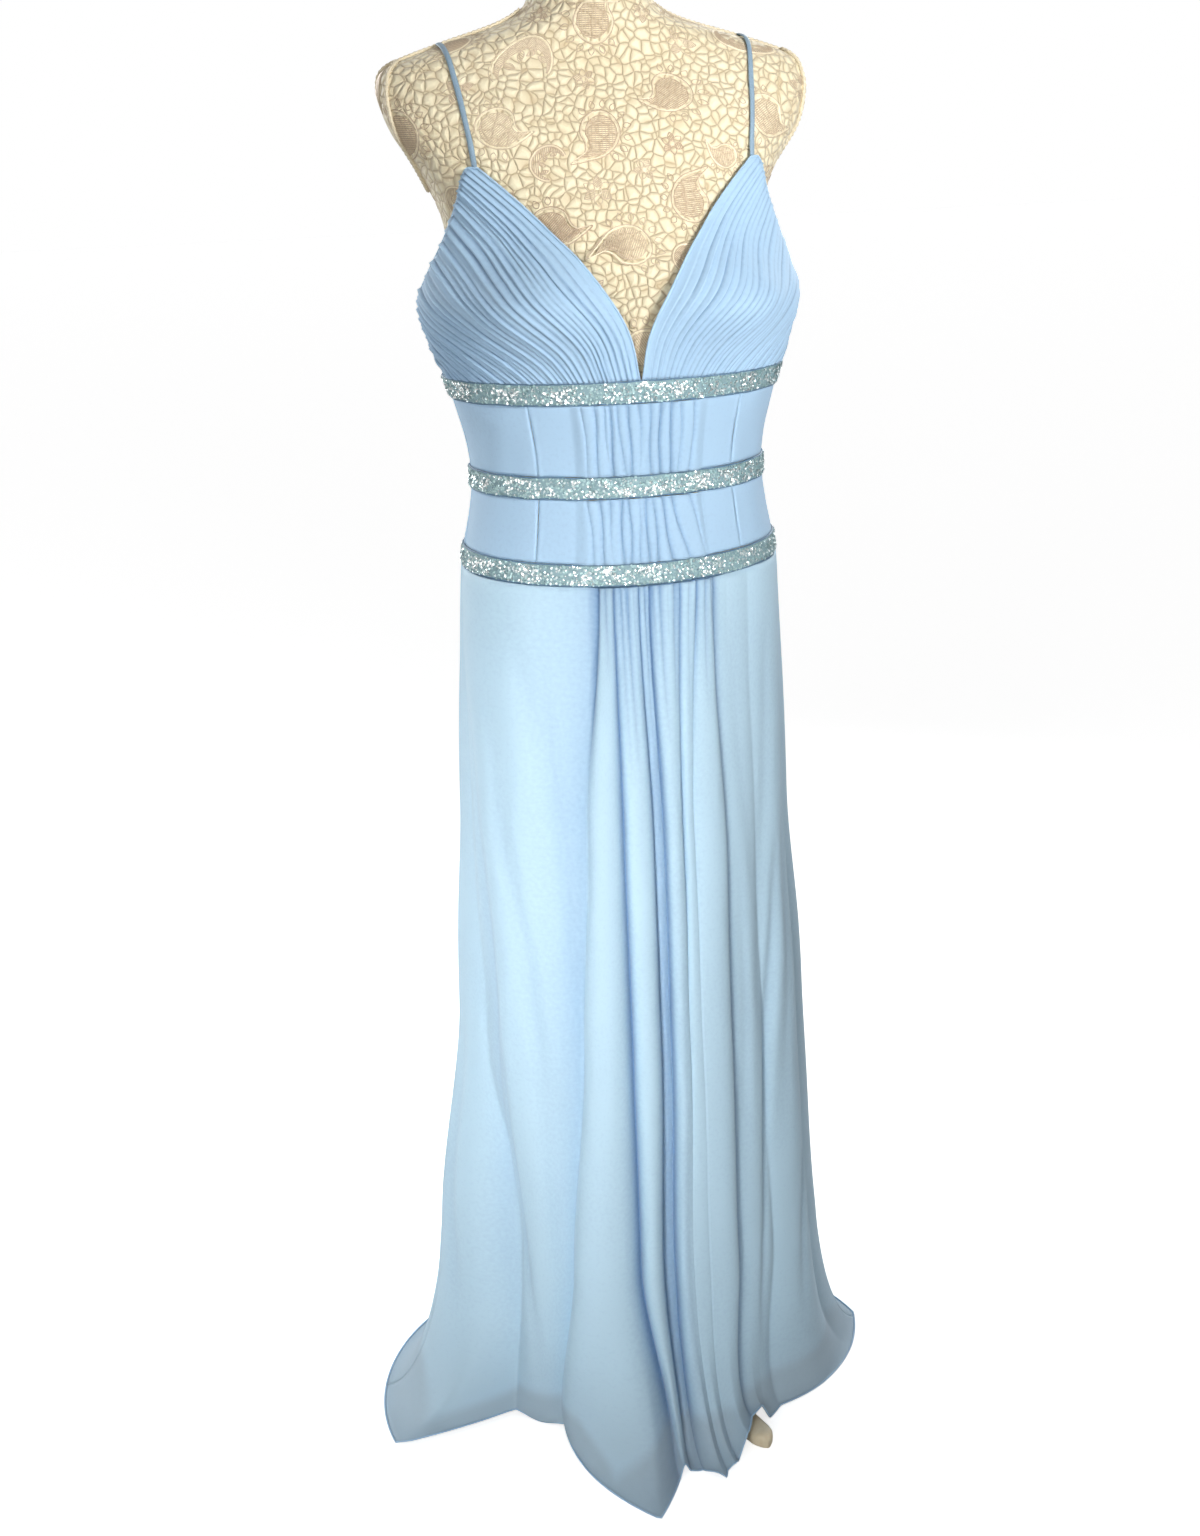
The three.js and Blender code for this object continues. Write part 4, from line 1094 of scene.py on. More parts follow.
def under_strap(t, aside):
    turn = mix(STRAP_LINE["turn"][0], STRAP_LINE["turn"][-1], t)
    start = np.array((float(read(STRAP_LINE, "x", turn, "turn")) + aside, STRAP_Y, STRAP_Z))
    away = np.array((0, -math.cos(math.radians(turn)), math.sin(math.radians(turn))))
    return start + away * leave_form(start, away)


def make_strap(name, sign, material):
    sides = 12
    rings = []
    for t in steps(90):
        left, right, here = (under_strap(t, aside) for aside in (-STRAP_WIDTH / 2, STRAP_WIDTH / 2, 0))
        across = unit(right - left)
        ahead = under_strap(t + 0.01, 0) - under_strap(t - 0.01, 0)
        out = unit(np.cross(across, ahead))
        front = STRAP_END_FRONT * max(0, 1 - t / STRAP_END_WITHIN)
        back = STRAP_END_BACK * max(0, 1 - (1 - t) / STRAP_END_WITHIN)
        middle = (here + left + right) / 3 + out * (STRAP_LIFT + STRAP_THICK / 2 + front + back)
        bend = np.arange(sides) * 2 * math.pi / sides
        width = STRAP_SEEN / 2 * (1 + 0.05 * math.sin(t * 40))
        wide, thick = np.cos(bend)[:, None] * width, np.sin(bend)[:, None] * STRAP_THICK / 2
        rings.append((middle + across * wide + out * thick) * np.array((sign, 1, 1)))
    strap = rolled(name + "_sewn", np.array(rings), material, inside_out=sign > 0)
    settle(strap, "chiffon", name)


# Skirt


def at_level(values, z):
    levels = np.array(FOLD_LEVELS[::-1], dtype=float)
    values = np.array(values[::-1], dtype=float)
    z = np.clip(z, levels[0], levels[-1])
    i = np.clip(np.searchsorted(levels, z, side="right") - 1, 0, len(levels) - 2)
    t = (z - levels[i]) / (levels[i + 1] - levels[i])
    return values[i] + (values[i + 1] - values[i]) * t * t * (3 - 2 * t)


def per_fold(place, z, key):
    """A column of the folds' table, read for each point's own fold and for the next one."""
    number = np.clip(np.floor(place).astype(int), 0, LAST_FOLD - 1)
    here, following = np.zeros(z.shape), np.zeros(z.shape)
    for k in range(LAST_FOLD):
        mask = number == k
        if not mask.any():
            continue
        for target, row in ((here, FOLDS[k]), (following, FOLDS[k + 1])):
            value = row[key]
            target[mask] = at_level(value, z[mask]) if isinstance(value, tuple) else value
    return here, following, place - number


def by_number(rows, number, z):
    """Values at each level for the folds that have a row, and nothing for the others."""
    total = np.zeros(np.shape(z))
    for k, values in rows.items():
        mask = number == k
        if mask.any():
            total[mask] = at_level(values, z[mask])
    return total


def fold_at(place, z):
    edge, next_edge, t = per_fold(place, z, "edge")
    rise = per_fold(place, z, "rise")[0]
    pipe = per_fold(place, z, "pipe")[0]
    t = np.clip(t, 0, 1)
    number = np.clip(np.floor(place).astype(int), 0, LAST_FOLD - 1)
    crest = np.clip(np.sin(np.pi * t), 0, 1)
    gathered = (place >= GATHERED_FROM) & (place <= GATHERED_TO)
    pipe = np.where(gathered, pipe * FOLD_SHARP, pipe)
    fill = mix(by_number(VALLEY_FILL, number, z), by_number(VALLEY_FILL, number + 1, z), t)
    fill = np.minimum(fill, rise)
    height = fill + (rise - fill) * crest**pipe
    open_share = np.where(rise > 0, (rise - fill) / np.maximum(rise, 0.01), 0)
    return np.radians(mix(edge, next_edge, t)), height, 1 - (1 - crest) * open_share


def hem_at(place, z):
    notch, next_notch, t = per_fold(place, z, "notch")
    reach = per_fold(place, z, "reach")[0]
    tip = per_fold(place, z, "tip")[0]
    lift, next_lift, _ = per_fold(place, z, "lift")
    t = np.clip(t, 0, 1)
    share = np.where(t < tip, t / tip, (1 - t) / (1 - tip))
    edge = np.where(t < tip, notch, next_notch)
    side = np.where(t < 0.5, lift, next_lift)
    hung = side * np.cos(np.pi * np.minimum(t, 1 - t)) ** 2
    from_foot = np.abs(np.degrees(fold_at(place, np.zeros_like(z))[0]) - FOOT_ANGLE)
    raised = OVER_FOOT_LIFT * np.clip((OVER_FOOT_HALF - from_foot) / OVER_FOOT_SLOPE, 0, 1)
    number = np.clip(np.floor(place).astype(int), 0, LAST_FOLD - 1)
    for fold, height in CURLS.items():
        raised = np.maximum(raised, np.where(number == fold, height * np.sin(np.pi * t) ** 1.5, 0))
    return mix(edge, reach, share), np.maximum(hung, raised)


def gathered_share(degrees, soft):
    """One inside the gathered front, falling to nothing at its sides."""
    return np.clip((GATHER_HALF - np.abs(degrees - GATHER_MIDDLE)) / soft, 0, 1)


def short_gathers(angle, z):
    """Gathers that leave the band and run out lower down."""
    degrees = np.degrees(angle)
    hollow = np.zeros_like(degrees)
    for top, low, end, deep in each_row(SKIRT_GATHERS):
        t = np.clip((GATHER_TOP - z) / (GATHER_TOP - end), 0, 1)
        near = np.exp(-np.abs((degrees - mix(top, low, t)) / 1.5))
        hollow = np.maximum(hollow, near * deep * (1 - t))
    return hollow * gathered_share(degrees, 6)


def soft_creases(angle, z):
    degrees = np.degrees(angle)
    hollow = np.zeros_like(degrees)
    for high_angle, high, low_angle, low, wide, deep in each_row(CREASES):
        t = (high - z) / (high - low)
        fade = np.clip(np.sin(np.pi * np.clip(t, 0, 1)), 0, 1) ** 0.7
        line = mix(high_angle, low_angle, t) + 0.8 * np.sin(t * 5 + high_angle)
        hollow += deep * fade * np.exp(-(((degrees - line) / wide) ** 2))
    return hollow


def chiffon_radius(place, z):
    angle, rise, _ = fold_at(place, z)
    settled = np.clip((900 - z) / 300, 0, 1)
    ripple = 0.9 * settled * waves(np.degrees(angle) * 3, z * 0.22, 41, 46)
    top = 3 * np.clip((z - 790) / 110, 0, 1) * gathered_share(np.degrees(angle), 6)
    hollow = short_gathers(angle, z) + soft_creases(angle, z)
    hanging = outline(SKIRT, angle, z) + rise + ripple + top - hollow
    reach, lift = hem_at(place, z)
    fallen = np.clip((FLARE_HEIGHT - z) / (FLARE_HEIGHT - HEM_LIFT - lift), 0, 1)
    return mix(hanging, reach, (1 - np.sqrt(1 - fallen)) ** 1.5)


def lining_hem(places):
    """Height of the lining's hem, which hangs lower in a few corners."""
    hem = np.full(np.shape(places), float(LINING_HEM))
    for corner, half, low in each_row(LINING_CORNERS):
        hem = np.minimum(hem, mix(low, LINING_HEM, np.abs(places - corner) / half))
    return hem


def lining_radius(place, z):
    angle, rise, _ = fold_at(place, z)
    hanging = outline(SKIRT, angle, z) - 1.2 - LINING_GAP + LINING_FOLLOW * rise - soft_creases(angle, z)
    room = chiffon_radius(place, z) - LINING_IN - hanging
    turned = np.where(room > 0, 0.6 * room * np.minimum((FLARE_HEIGHT - z) / 60, 1), room)
    return np.where(z >= FLARE_HEIGHT, hanging, hanging + turned)


def skirt_grid(places, rows, turns, hem, radius):
    """Columns at the given places, from the hem up to the bottom band."""
    top_angle = fold_at(places, np.full(len(places), float(FOLD_LEVELS[0])))[0]
    top = band_edge("band_bottom", top_angle, -1) - SEAM
    share = steps(rows)[1:]
    hanging = FLARE_HEIGHT + (top[:, None] - FLARE_HEIGHT) * share[None]
    turn = 1 - steps(turns)
    fallen = 1 - (1 - turn) ** 2
    turned = mix(FLARE_HEIGHT, hem[:, None], fallen[None])
    z = np.concatenate((turned, hanging), axis=1)
    wide = np.broadcast_to(places[:, None], z.shape)
    angle, _, crest = fold_at(wide, z)
    points = around(angle, radius(wide, z), z, read(SKIRT, "centre", z))
    return points, z, angle, crest


def seam_shift(grid, column, distance):
    """Moves a column sideways round the pole."""
    x, y = grid[column, :, 0].copy(), grid[column, :, 1].copy()
    turn = distance / np.hypot(x, y)
    grid[column, :, 0] = x * np.cos(turn) - y * np.sin(turn)
    grid[column, :, 1] = x * np.sin(turn) + y * np.cos(turn)


def make_skirt_panel(name, first, last, columns, gaps, material, hem_material):
    places = np.linspace(first, last, columns + 1)
    hem = HEM_LIFT + hem_at(places, np.zeros(len(places)))[1]
    grid, z, angle, crest = skirt_grid(places, 96, 22, hem, chiffon_radius)
    seam_shift(grid, 0, gaps[0])
    seam_shift(grid, -1, -gaps[1])
    grid_places = np.broadcast_to(places[:, None], z.shape)
    # The fold mark paints shade: in the gathered valleys, in the short gathers under the band, over the faces
    # of some folds (on fold 3 darker towards its edge with the next fold), and in the long creases.
    hollow = np.clip(short_gathers(angle, z) / 3, 0, 1)
    number = np.floor(grid_places).astype(int)
    gathered = gathered_share(np.degrees(angle), 4) * (1 - 0.2 * (number == 6))
    beside = grid_places - number
    shade = by_number(FACE_PAINTED_SHADE, number, z)
    shade = shade * np.where(number == 3, np.clip((beside - 0.5) / 0.45, 0, 1) ** 2 * 3, 1)
    fold = np.clip(gathered * 0.9 * (1 - crest) ** 3 + 0.75 * hollow, 0, 1)
    fold = np.maximum(fold, shade * np.where(number >= 6, 0.55 + 0.45 * np.sin(np.pi * beside), 1))
    fold = np.clip(fold + 0.022 * soft_creases(angle, z), 0, 1)
    # Below the lining's hem the chiffon is sheer, and there it is also greyed as painted shade.
    below = np.clip((lining_hem(grid_places) + 4 - z) / 12, 0, 1)
    sheer_and_shade = 0.3 * np.clip((110 - z) / 80, 0, 1) + 0.5 * below
    marks = {"fold": fold, "sheer_and_shade": sheer_and_shade}
    panel = thicken(grid_piece(name + "_chiffon", grid, material, marks=marks), CHIFFON_THICK)
    settle(panel, "chiffon", name)
    hem_line = grid[:, 0] + np.array((0, 0, HEM_ROLL * 0.5))
    roll = settle(tube(name + "_hem", hem_line, HEM_ROLL, hem_material, 6), "chiffon")
    cut(panel, grid)


def make_lining(material):
    places = np.linspace(0, LAST_FOLD, 241)[:-1]
    hem = lining_hem(places)
    grid, _, _, _ = skirt_grid(places, 52, 12, hem, lining_radius)
    lining = grid_piece("skirt_lining_satin", grid, material, ring=True, marks={"fold": 0.0})
    thicken(lining, CHIFFON_THICK)
    settle(lining, "lining", "skirt_lining")
    closed = np.concatenate((grid, grid[:1]))
    cut(lining, closed)


# Form and stand


def make_form(material):
    turn = np.linspace(0, 2 * math.pi, 181)[:-1]
    z = np.concatenate((np.linspace(740, 1290, 55), np.linspace(1292, 1470, 85)))
    grid = form_point(turn[:, None], z[None])
    crown = np.array((0, read(FORM, "centre", 1470), 1470))
    rings = [mix(grid[:, -1], crown, s) for s in (0.1, 0.4, 0.9)]
    foot = np.array((0, 6, 740))
    below = [mix(grid[:, 0], foot, s) for s in (0.9, 0.4, 0.05)]
    grid = np.concatenate((np.stack(below, 1), grid, np.stack(rings, 1)), axis=1)
    form = grid_piece("form_cover", grid, material, ring=True)
    mesh = bmesh.new()
    mesh.from_mesh(form.data)
    edges = [e for e in mesh.edges if e.is_boundary]
    bmesh.ops.holes_fill(mesh, edges=edges)
    mesh.to_mesh(form.data)
    mesh.free()
    settle(form, "form_cover", "form_torso")


MOTIF_GAP = 3
MOTIF_SEED = 12
THREAD_HEIGHT = 0.5
PAISLEY = np.array((
    (0.66, 0.98), (0.3, 0.86), (-0.14, 0.66), (-0.46, 0.28), (-0.52, -0.18), (-0.26, -0.55),
    (0.16, -0.64), (0.5, -0.38), (0.58, 0.04), (0.4, 0.36), (0.38, 0.62), (0.52, 0.8),
))


def smooth_line(points, count, closed=True):
    """A curve through a few points."""
    points = np.asarray(points, dtype=float)
    n = len(points)
    at = np.linspace(0, n if closed else n - 1, count, endpoint=not closed)
    i = np.floor(at).astype(int)
    t = (at - i)[:, None]
    pick = (lambda k: points[k % n]) if closed else (lambda k: points[np.clip(k, 0, n - 1)])
    a, b, c, d = (pick(i + k) for k in (-1, 0, 1, 2))
    line = b + 0.5 * t * (c - a + t * (2 * a - 5 * b + 4 * c - d + t * (3 * (b - c) + d - a)))
    return np.concatenate((line, line[:1])) if closed else line


def hatch(outline_points, spacing, heading, width=0.8, tone=0.0):
    """Close parallel threads inside a closed outline."""
    shape = np.asarray(outline_points)
    cos, sin = math.cos(heading), math.sin(heading)
    turned = np.stack((shape[:, 0] * cos + shape[:, 1] * sin, shape[:, 1] * cos - shape[:, 0] * sin), axis=1)
    strokes = []
    for level in np.arange(turned[:, 1].min() + spacing / 2, turned[:, 1].max(), spacing):
        a, b = turned, np.roll(turned, -1, axis=0)
        crosses = (a[:, 1] > level) != (b[:, 1] > level)
        a, b = a[crosses], b[crosses]
        at = np.sort(a[:, 0] + (level - a[:, 1]) / (b[:, 1] - a[:, 1]) * (b[:, 0] - a[:, 0]))
        for start, end in zip(at[::2], at[1::2]):
            x = np.linspace(start, end, max(2, int((end - start) / 4) + 2))
            line = np.stack((x * cos - level * sin, x * sin + level * cos), axis=1)
            strokes.append((line, width, tone))
    return strokes


def leaf_outline(base, heading, length, width):
    ahead = np.array((math.cos(heading), math.sin(heading)))
    aside = np.array((-ahead[1], ahead[0]))
    t = np.linspace(0, 1, 9)
    bulge = np.sin(np.pi * t**0.8) * width / 2
    left = base + np.outer(t * length, ahead) + np.outer(bulge, aside)
    right = base + np.outer(t * length, ahead) - np.outer(bulge, aside)
    return np.concatenate((left, right[::-1][1:]))


def leaf(base, heading, length, width, filled=True):
    """A pointed leaf with slanted threads."""
    edge = leaf_outline(base, heading, length, width)
    strokes = hatch(edge, 1.6, heading + 0.9, 0.9) if filled else []
    return strokes + [(edge, 0.9, 0.1)]


def paisley(size):
    """A curled drop, filled, with a light double rim and small leaves round it."""
    outer = smooth_line(PAISLEY * size, 36)
    inner = smooth_line((PAISLEY - (0.03, -0.02)) * size * 0.78, 32)
    strokes = [(outer, 1.0, 0.1), (outer * 0.93, 1.3, 1.0), (inner, 1.0, 0.1)]
    strokes += hatch(inner[:-1], 1.9, 0.15, 1.0) + hatch(inner[:-1], 3.2, 1.7, 0.6, 0.5)
    for turn in np.linspace(2.2, 5.6, 9):
        here = np.array((math.cos(turn) * 0.64, math.sin(turn) * 0.7 - 0.02)) * size
        strokes += leaf(here, turn, size * 0.24, size * 0.16, filled=False)
    return strokes


def crescent(size):
    """A scroll: a wide curl, dark inside its bend, with a light rim."""
    turn = np.linspace(-0.4, 3.9, 26)
    wide = np.sin(np.linspace(0.12, math.pi - 0.05, 26)) * 0.34
    outer = np.stack((np.cos(turn), np.sin(turn)), axis=1) * size * 0.86
    inner = np.stack((np.cos(turn), np.sin(turn)), axis=1) * (size * (0.86 - wide))[:, None]
    edge = np.concatenate((outer, inner[::-1]))
    strokes = hatch(edge, 1.7, 0.8, 1.0)
    strokes += [(outer, 1.2, 0.1), (inner, 1.0, 0.1), (outer * 1.07, 1.4, 1.0), (outer * 1.14, 0.8, 0.1)]
    for share in (3, 9, 15, 21):
        strokes += leaf(inner[share] * 0.96, turn[share] + 2.6, size * 0.4, size * 0.2)
    return strokes


def spray(size):
    t = np.linspace(-1, 1, 16)
    stem = np.stack((t * size, 0.32 * size * np.sin(t * 2.4)), axis=1)
    strokes = [(stem, 1.0, 0.8)]
    for k, share in enumerate(np.linspace(1, 14, 7)):
        here = stem[int(share)]
        slope = math.atan2(*(stem[int(share) + 1] - here)[::-1])
        side = 1 if k % 2 else -1
        strokes += leaf(here, slope + side * 0.85, size * 0.56, size * 0.26)
    return strokes


def flower(size):
    corners = [(0.2 * size * math.cos(a), 0.2 * size * math.sin(a)) for a in np.arange(6)]
    strokes = [(smooth_line(corners, 12), 1.0, 0.7)]
    for turn in np.arange(6) * 2 * math.pi / 6:
        here = np.array((math.cos(turn), math.sin(turn))) * size * 0.22
        strokes += leaf(here, turn, size * 0.7, size * 0.5, filled=int(turn * 3) % 2 == 0)
    return strokes


# Each kind of motif with its half width
MOTIFS = (
    (paisley, 34), (crescent, 29), (spray, 25), (paisley, 21),
    (crescent, 18), (flower, 16), (flower, 12),
)


def bare_form(angle, z):
    """True where the gown leaves the form's skin in view."""
    degrees = abs(math.degrees(angle))
    if degrees < 62:
        return z > 1275 or degrees < float(read(NECK_EDGE, "angle", z)) + 10 and z > 1100
    if degrees < 90:
        return z > 1190
    return z > 1150


def form_skin(angle, z, out):
    """A point of the form moved out square to its skin."""
    here = form_point(angle, z)
    ahead = form_point(angle + 0.01, z) - form_point(angle - 0.01, z)
    upward = form_point(angle, z + 0.8) - form_point(angle, z - 0.8)
    square = unit(np.cross(ahead, upward))
    return here + square * out, square


def lay_motif(strokes, angle, z, turned, mirrored, heights, lengths):
    """Bends flat strokes, in millimetres, on to the form round one point of it."""
    cos, sin = math.cos(turned), math.sin(turned)
    start = float(np.interp(z, heights, lengths))
    around_here = np.linalg.norm(form_point(angle + 0.01, z) - form_point(angle - 0.01, z)) / 0.02
    for line, width, tone in strokes:
        x, y = line[:, 0] * mirrored, line[:, 1]
        aside, upward = x * cos - y * sin, x * sin + y * cos
        yield angle + aside / around_here, np.interp(start + upward, lengths, heights), width, tone


def motif_spots():
    """Seeded places over the bare form, the largest motifs first."""
    draw = random.Random(MOTIF_SEED)
    heights = np.linspace(1085, 1424, 170)
    spots = []
    for motif, size in MOTIFS:
        for _ in range(500):
            angle = draw.uniform(-math.pi, math.pi)
            profile = form_point(angle, heights)
            lengths = np.concatenate(([0], np.cumsum(np.linalg.norm(np.diff(profile, axis=0), axis=1))))
            z = float(np.interp(draw.uniform(0, lengths[-1]), lengths, heights))
            here = form_point(angle, z)
            crowded = any(np.linalg.norm(here - spot[0]) < size + spot[1] + MOTIF_GAP for spot in spots)
            if bare_form(angle, z) and not crowded:
                spots.append((here, size, motif, angle, z, heights, lengths))
    return spots


def make_embroidery(material):
    draw = random.Random(MOTIF_SEED)
    vertices, faces, tints = [], [], []
    count = 0
    for _, size, motif, angle, z, heights, lengths in motif_spots():
        turned, mirrored, shade = draw.uniform(0, 2 * math.pi), draw.choice((-1, 1)), draw.uniform(0, 0.3)
        strokes = motif(size)
        for angles, zs, width, tone in lay_motif(strokes, angle, z, turned, mirrored, heights, lengths):
            line, square = form_skin(angles, zs, 0.1)
            aside = np.cross(square, np.gradient(line, axis=0))
            aside /= np.maximum(np.linalg.norm(aside, axis=1, keepdims=True), 1e-9)
            crest = line + square * THREAD_HEIGHT * (0.7 + 0.5 * tone)
            ring = np.stack((line + aside * width / 2, crest, line - aside * width / 2), axis=1)
            vertices.append(ring.reshape(-1, 3))
            for i in range(len(line) - 1):
                a = count + 3 * i
                faces += [(a + k, a + k + 1, a + k + 4, a + k + 3) for k in range(2)]
            tints.append(np.full(3 * len(line), min(1, shade + 0.7 * tone)))
            count += 3 * len(line)
    threads = new_object("form_embroidery", place(np.concatenate(vertices)), faces, material)
    tint = threads.data.attributes.new("tint", "FLOAT", "POINT")
    tint.data.foreach_set("value", np.concatenate(tints))
    settle(threads, "form_cover")


PIPING_RADIUS = 2.0
ARMHOLE = {"y": 54, "z": 1319, "half_deep": 30, "half_high": 58}


def twisted(name, line, radius, material, closed=False, pitch=5.0):
    """A cord of two strands: an oval section that turns along the line."""
    line = np.asarray(line, dtype=float)
    span = np.linalg.norm(np.diff(line, axis=0), axis=1)
    along = np.concatenate(([0], np.cumsum(span)))
    count = int(along[-1] / 1.1)
    even = np.linspace(0, along[-1], count, endpoint=not closed)
    line = np.stack([np.interp(even, along, line[:, k]) for k in range(3)], axis=1)
    cord = tube(name, line, radius, material, sides=8, closed=closed)
    points = np.empty(len(cord.data.vertices) * 3)
    cord.data.vertices.foreach_get("co", points)
    rings = points.reshape(-1, 8, 3)
    middle = rings.mean(axis=1, keepdims=True)
    turn = np.arange(8) * 2 * math.pi / 8
    swell = 1 + 0.22 * np.cos(2 * (turn[None] - even[: len(rings), None] * math.pi / pitch))
    rings = middle + (rings - middle) * swell[..., None]
    cord.data.vertices.foreach_set("co", rings.ravel())
    cord.data.update()
    settle(cord, "form_cover")


def armhole_line(sign):
    """An oval in side view, laid on the outermost skin of the shoulder's end."""
    turn = np.linspace(0, 2 * math.pi, 73)[:-1]
    y = ARMHOLE["y"] + ARMHOLE["half_deep"] * np.cos(turn)
    z = ARMHOLE["z"] + ARMHOLE["half_high"] * np.sin(turn)
    dy = y - read(FORM, "centre", z)
    deep = np.where(dy < 0, read(FORM, "front", z), read(FORM, "back", z))
    n = read(FORM, "square", z)
    x = read(FORM, "half", z) * (1 - np.minimum(0.98, np.abs(dy / deep) ** n)) ** (1 / n)
    line = form_skin(np.arctan2(x, -dy), z, PIPING_RADIUS * 0.6)[0]
    return line * np.array((sign, 1, 1))


def make_piping(cream):
    for side, sign in (("left", 1), ("right", -1)):
        twisted(f"armhole_piping_{side}", armhole_line(sign), PIPING_RADIUS, cream, closed=True)
        z = np.linspace(1376, 1421, 30)
        ridge = form_skin(np.full(30, sign * math.pi / 2), z, PIPING_RADIUS * 0.6)[0]
        twisted(f"shoulder_piping_{side}", ridge, PIPING_RADIUS * 0.8, cream)


LEG_FLAT_FROM = 195
LEG_ROUND_FROM = 215
LEG_LINE = table(
    "out z thick wide",
    (34.3, 122, 34, 26),
    (60, 108, 30, 26),
    (95, 74, 26, 26),
    (130, 42, 22, 26),
    (165, 21, 19, 26),
    (195, 9.5, 18, 26),
    (220, 8, 16, 25),
    (229, 7, 14, 20),
    (232, 6, 9, 11),
)


def make_leg(index, material):
    turn = math.radians(FOOT_ANGLE + index * 120)
    sides = 20
    toe = LEG_ROUND_FROM + 17 * np.sin(np.linspace(0, math.pi / 2, 22)[1:])
    outs = np.concatenate((np.linspace(34.3, LEG_ROUND_FROM, 50), toe))
    rings = []
    for out in outs:
        z, thick, wide = (float(read(LEG_LINE, key, out, "out")) for key in ("z", "thick", "wide"))
        if out > LEG_FLAT_FROM:
            z = thick / 2
        if out > LEG_ROUND_FROM:
            wide = 26 * math.sqrt(max(0.03, 1 - ((out - LEG_ROUND_FROM) / 17.2) ** 2))
        bend = np.arange(sides) * 2 * math.pi / sides
        side = np.sign(np.cos(bend)) * np.abs(np.cos(bend)) ** 0.6 * wide / 2
        height = np.sign(np.sin(bend)) * np.abs(np.sin(bend)) ** 0.6 * thick / 2
        x = out * math.sin(turn) + side * math.cos(turn)
        y = -out * math.cos(turn) + side * math.sin(turn)
        rings.append(np.stack((x, y, z + height), axis=1))
    leg = rolled(f"leg_{index + 1}_shaped", np.array(rings), material, inside_out=True)
    settle(leg, "stand_wood", f"leg_{index + 1}")


def dress_node(name, material):
    """A solid whose shape is right keeps it and takes its finish."""
    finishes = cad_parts[name].data.materials
    finishes.clear()
    finishes.append(material)


# Camera, light and floor


def make_camera():
    turn, down, roll = (math.radians(a) for a in (EYE_TURN, EYE_DOWN, EYE_ROLL))
    away = Vector((-math.sin(turn), -math.cos(turn), 0))
    right = Vector((math.cos(turn), -math.sin(turn), 0))
    up = Vector((0, 0, 1))
    forward = -away * math.cos(down) - up * math.sin(down)
    top = -away * math.sin(down) + up * math.cos(down)
    x_axis = right * math.cos(roll) - top * math.sin(roll)
    y_axis = right * math.sin(roll) + top * math.cos(roll)
    data = bpy.data.cameras.new("camera")
    data.sensor_width = SENSOR
    data.sensor_fit = "AUTO"
    data.lens = FOCAL_PIXELS / PHOTO_HEIGHT * SENSOR
    camera = bpy.data.objects.new("camera", data)
    bpy.context.scene.collection.objects.link(camera)
    place_at = away * EYE_DISTANCE + right * EYE_ASIDE + up * EYE_HEIGHT
    turned = Matrix((x_axis, y_axis, -forward)).transposed().to_4x4()
    camera.matrix_world = Matrix.Translation(place_at * MM + Vector((AXIS.x, AXIS.y, 0))) @ turned
    bpy.context.scene.camera = camera


def make_light(name, spot, size, power, colour, aim, spread):
    data = bpy.data.lights.new(name, "AREA")
    data.shape = "RECTANGLE"
    data.size, data.size_y = size
    data.energy = power
    data.color = colour
    data.spread = math.radians(spread)
    light = bpy.data.objects.new(name, data)
    light.location = spot
    light.rotation_euler = (Vector(aim) - Vector(spot)).to_track_quat("-Z", "Y").to_euler()
    bpy.context.scene.collection.objects.link(light)


def seen_directly(tree, glossy):
    """One where the camera, or also a mirror-like surface, looks at this."""
    path = node(tree, "ShaderNodeLightPath")
    seen = path.outputs["Is Camera Ray"]
    return math_node(tree, "MAXIMUM", seen, path.outputs["Is Glossy Ray"]) if glossy else seen


def make_stage():
    material, tree, shader = new_material("pale floor", Roughness=0.9)
    shader.inputs["Base Color"].default_value = (0.86, 0.86, 0.86, 1)
    shader.inputs["Emission Color"].default_value = (1, 1, 1, 1)
    glow = math_node(tree, "MULTIPLY", seen_directly(tree, False), FLOOR_GLOW)
    tree.links.new(glow, shader.inputs["Emission Strength"])
    corners = [(-FLOOR_HALF, -FLOOR_HALF, 0), (FLOOR_HALF, -FLOOR_HALF, 0)]
    corners += [(FLOOR_HALF, FLOOR_HALF, 0), (-FLOOR_HALF, FLOOR_HALF, 0)]
    floor = new_object("floor", corners, [(0, 1, 2, 3)], material, smooth=False)
    floor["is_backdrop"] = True
    world = bpy.data.worlds.new("studio")
    bpy.context.scene.world = world
    bpy.context.scene.view_settings.view_transform = "Standard"
    world.use_nodes = True
    tree = world.node_tree
    background = tree.nodes["Background"]
    background.inputs["Color"].default_value = (1, 1, 1, 1)
    strength = ranged(tree, seen_directly(tree, True), ROOM_LIGHT, 1.0)
    tree.links.new(strength, background.inputs["Strength"])
    for row in LIGHTS:
        make_light(*row)


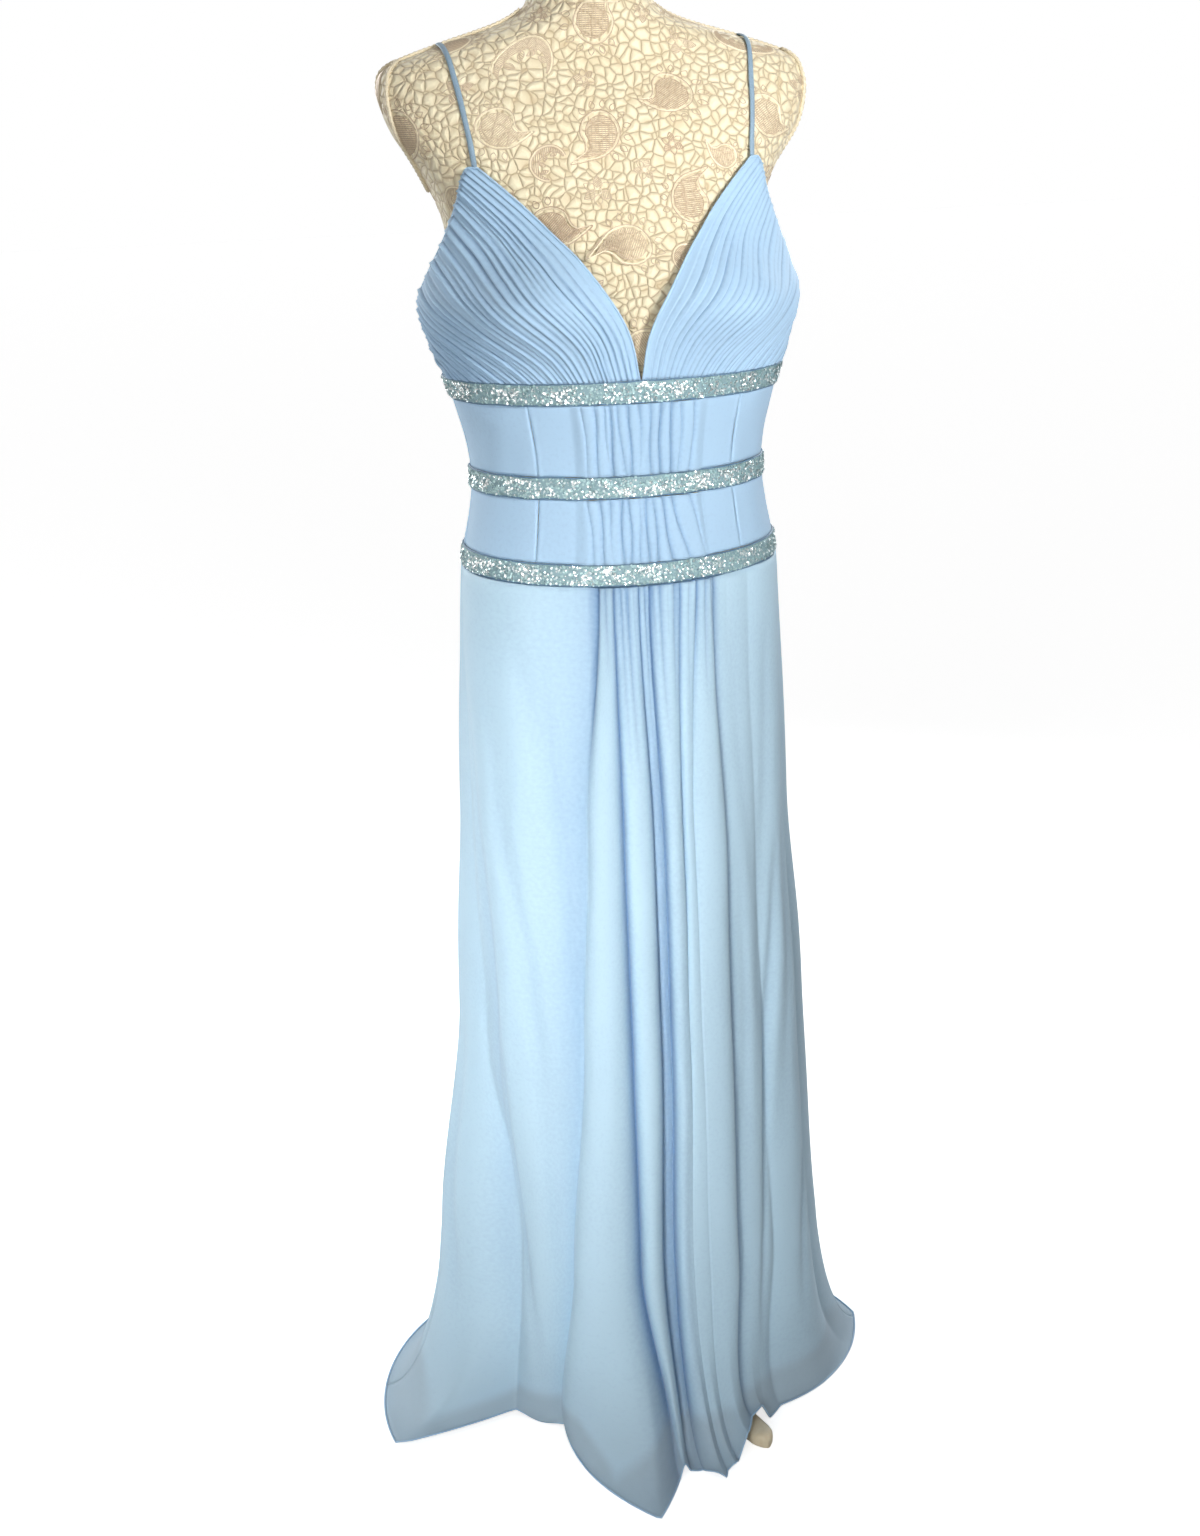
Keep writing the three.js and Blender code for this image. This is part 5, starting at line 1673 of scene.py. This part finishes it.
def main():
    make_camera()
    make_stage()
    bodice = bodice_chiffon()
    cover = brocade()
    strap = thread_material("strap cord", (0.27, 0.39, 0.5), 0.55)
    make_form(cover)
    make_embroidery(tinted_thread("embroidery", (0.46, 0.33, 0.22), (0.9, 0.8, 0.58)))
    make_piping(thread_material("cream piping", (0.82, 0.72, 0.52)))
    for side, sign in (("left", 1), ("right", -1)):
        make_cup("cup_" + side, sign, bodice, bodice)
        make_strap("strap_" + side, sign, strap)
    make_top_backs(bodice)
    make_midriff("upper", "band_middle", "band_top", UPPER_GATHERS, bodice)
    make_midriff("lower", "band_bottom", "band_middle", LOWER_GATHERS, bodice)
    net = band_net()
    sequin = tinted_metal("silver sequin", (0.72, 0.82, 0.84), (0.97, 0.98, 0.97), 0.2, 0.9)
    bead = (
        tinted_metal("glass bead", (0.2, 0.33, 0.38), (0.62, 0.78, 0.8), 0.16, 0.2),
        tinted_metal("dull sequin", (0.25, 0.4, 0.42), (0.52, 0.7, 0.7), 0.4, 0.3),
    )
    cord = thread_material("band cord with edge shadow", (0.13, 0.24, 0.36), 0.5)
    for seed, name in enumerate(BANDS):
        make_band(name, 100 + 10 * seed, net, sequin, bead, cord)
    skirt = skirt_chiffon()
    make_skirt_panel("skirt_back_right", 0, LEFT_SEAM, 112, (ZIP_HALF, SEAM / 2), skirt, bodice)
    make_skirt_panel("skirt_front", LEFT_SEAM, RIGHT_SEAM, 400, (SEAM / 2, SEAM / 2), skirt, bodice)
    make_skirt_panel("skirt_back_left", RIGHT_SEAM, LAST_FOLD, 112, (SEAM / 2, ZIP_HALF), skirt, bodice)
    make_lining(lining_satin())
    wood = stand_wood()
    for index in range(3):
        make_leg(index, wood)
    dress_node("zip_tape", thread_material("zip tape", (0.45, 0.63, 0.86)))
    enamel = zip_enamel()
    for name, finish in (("pole", wood), ("hub", wood), ("zip_slider", enamel), ("zip_pull", enamel)):
        dress_node(name, finish)
    boxes = {"cad": CAD_BOX, "visual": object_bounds()}
    {key: [list(corner) for corner in box] for key, box in boxes.items()}


main()
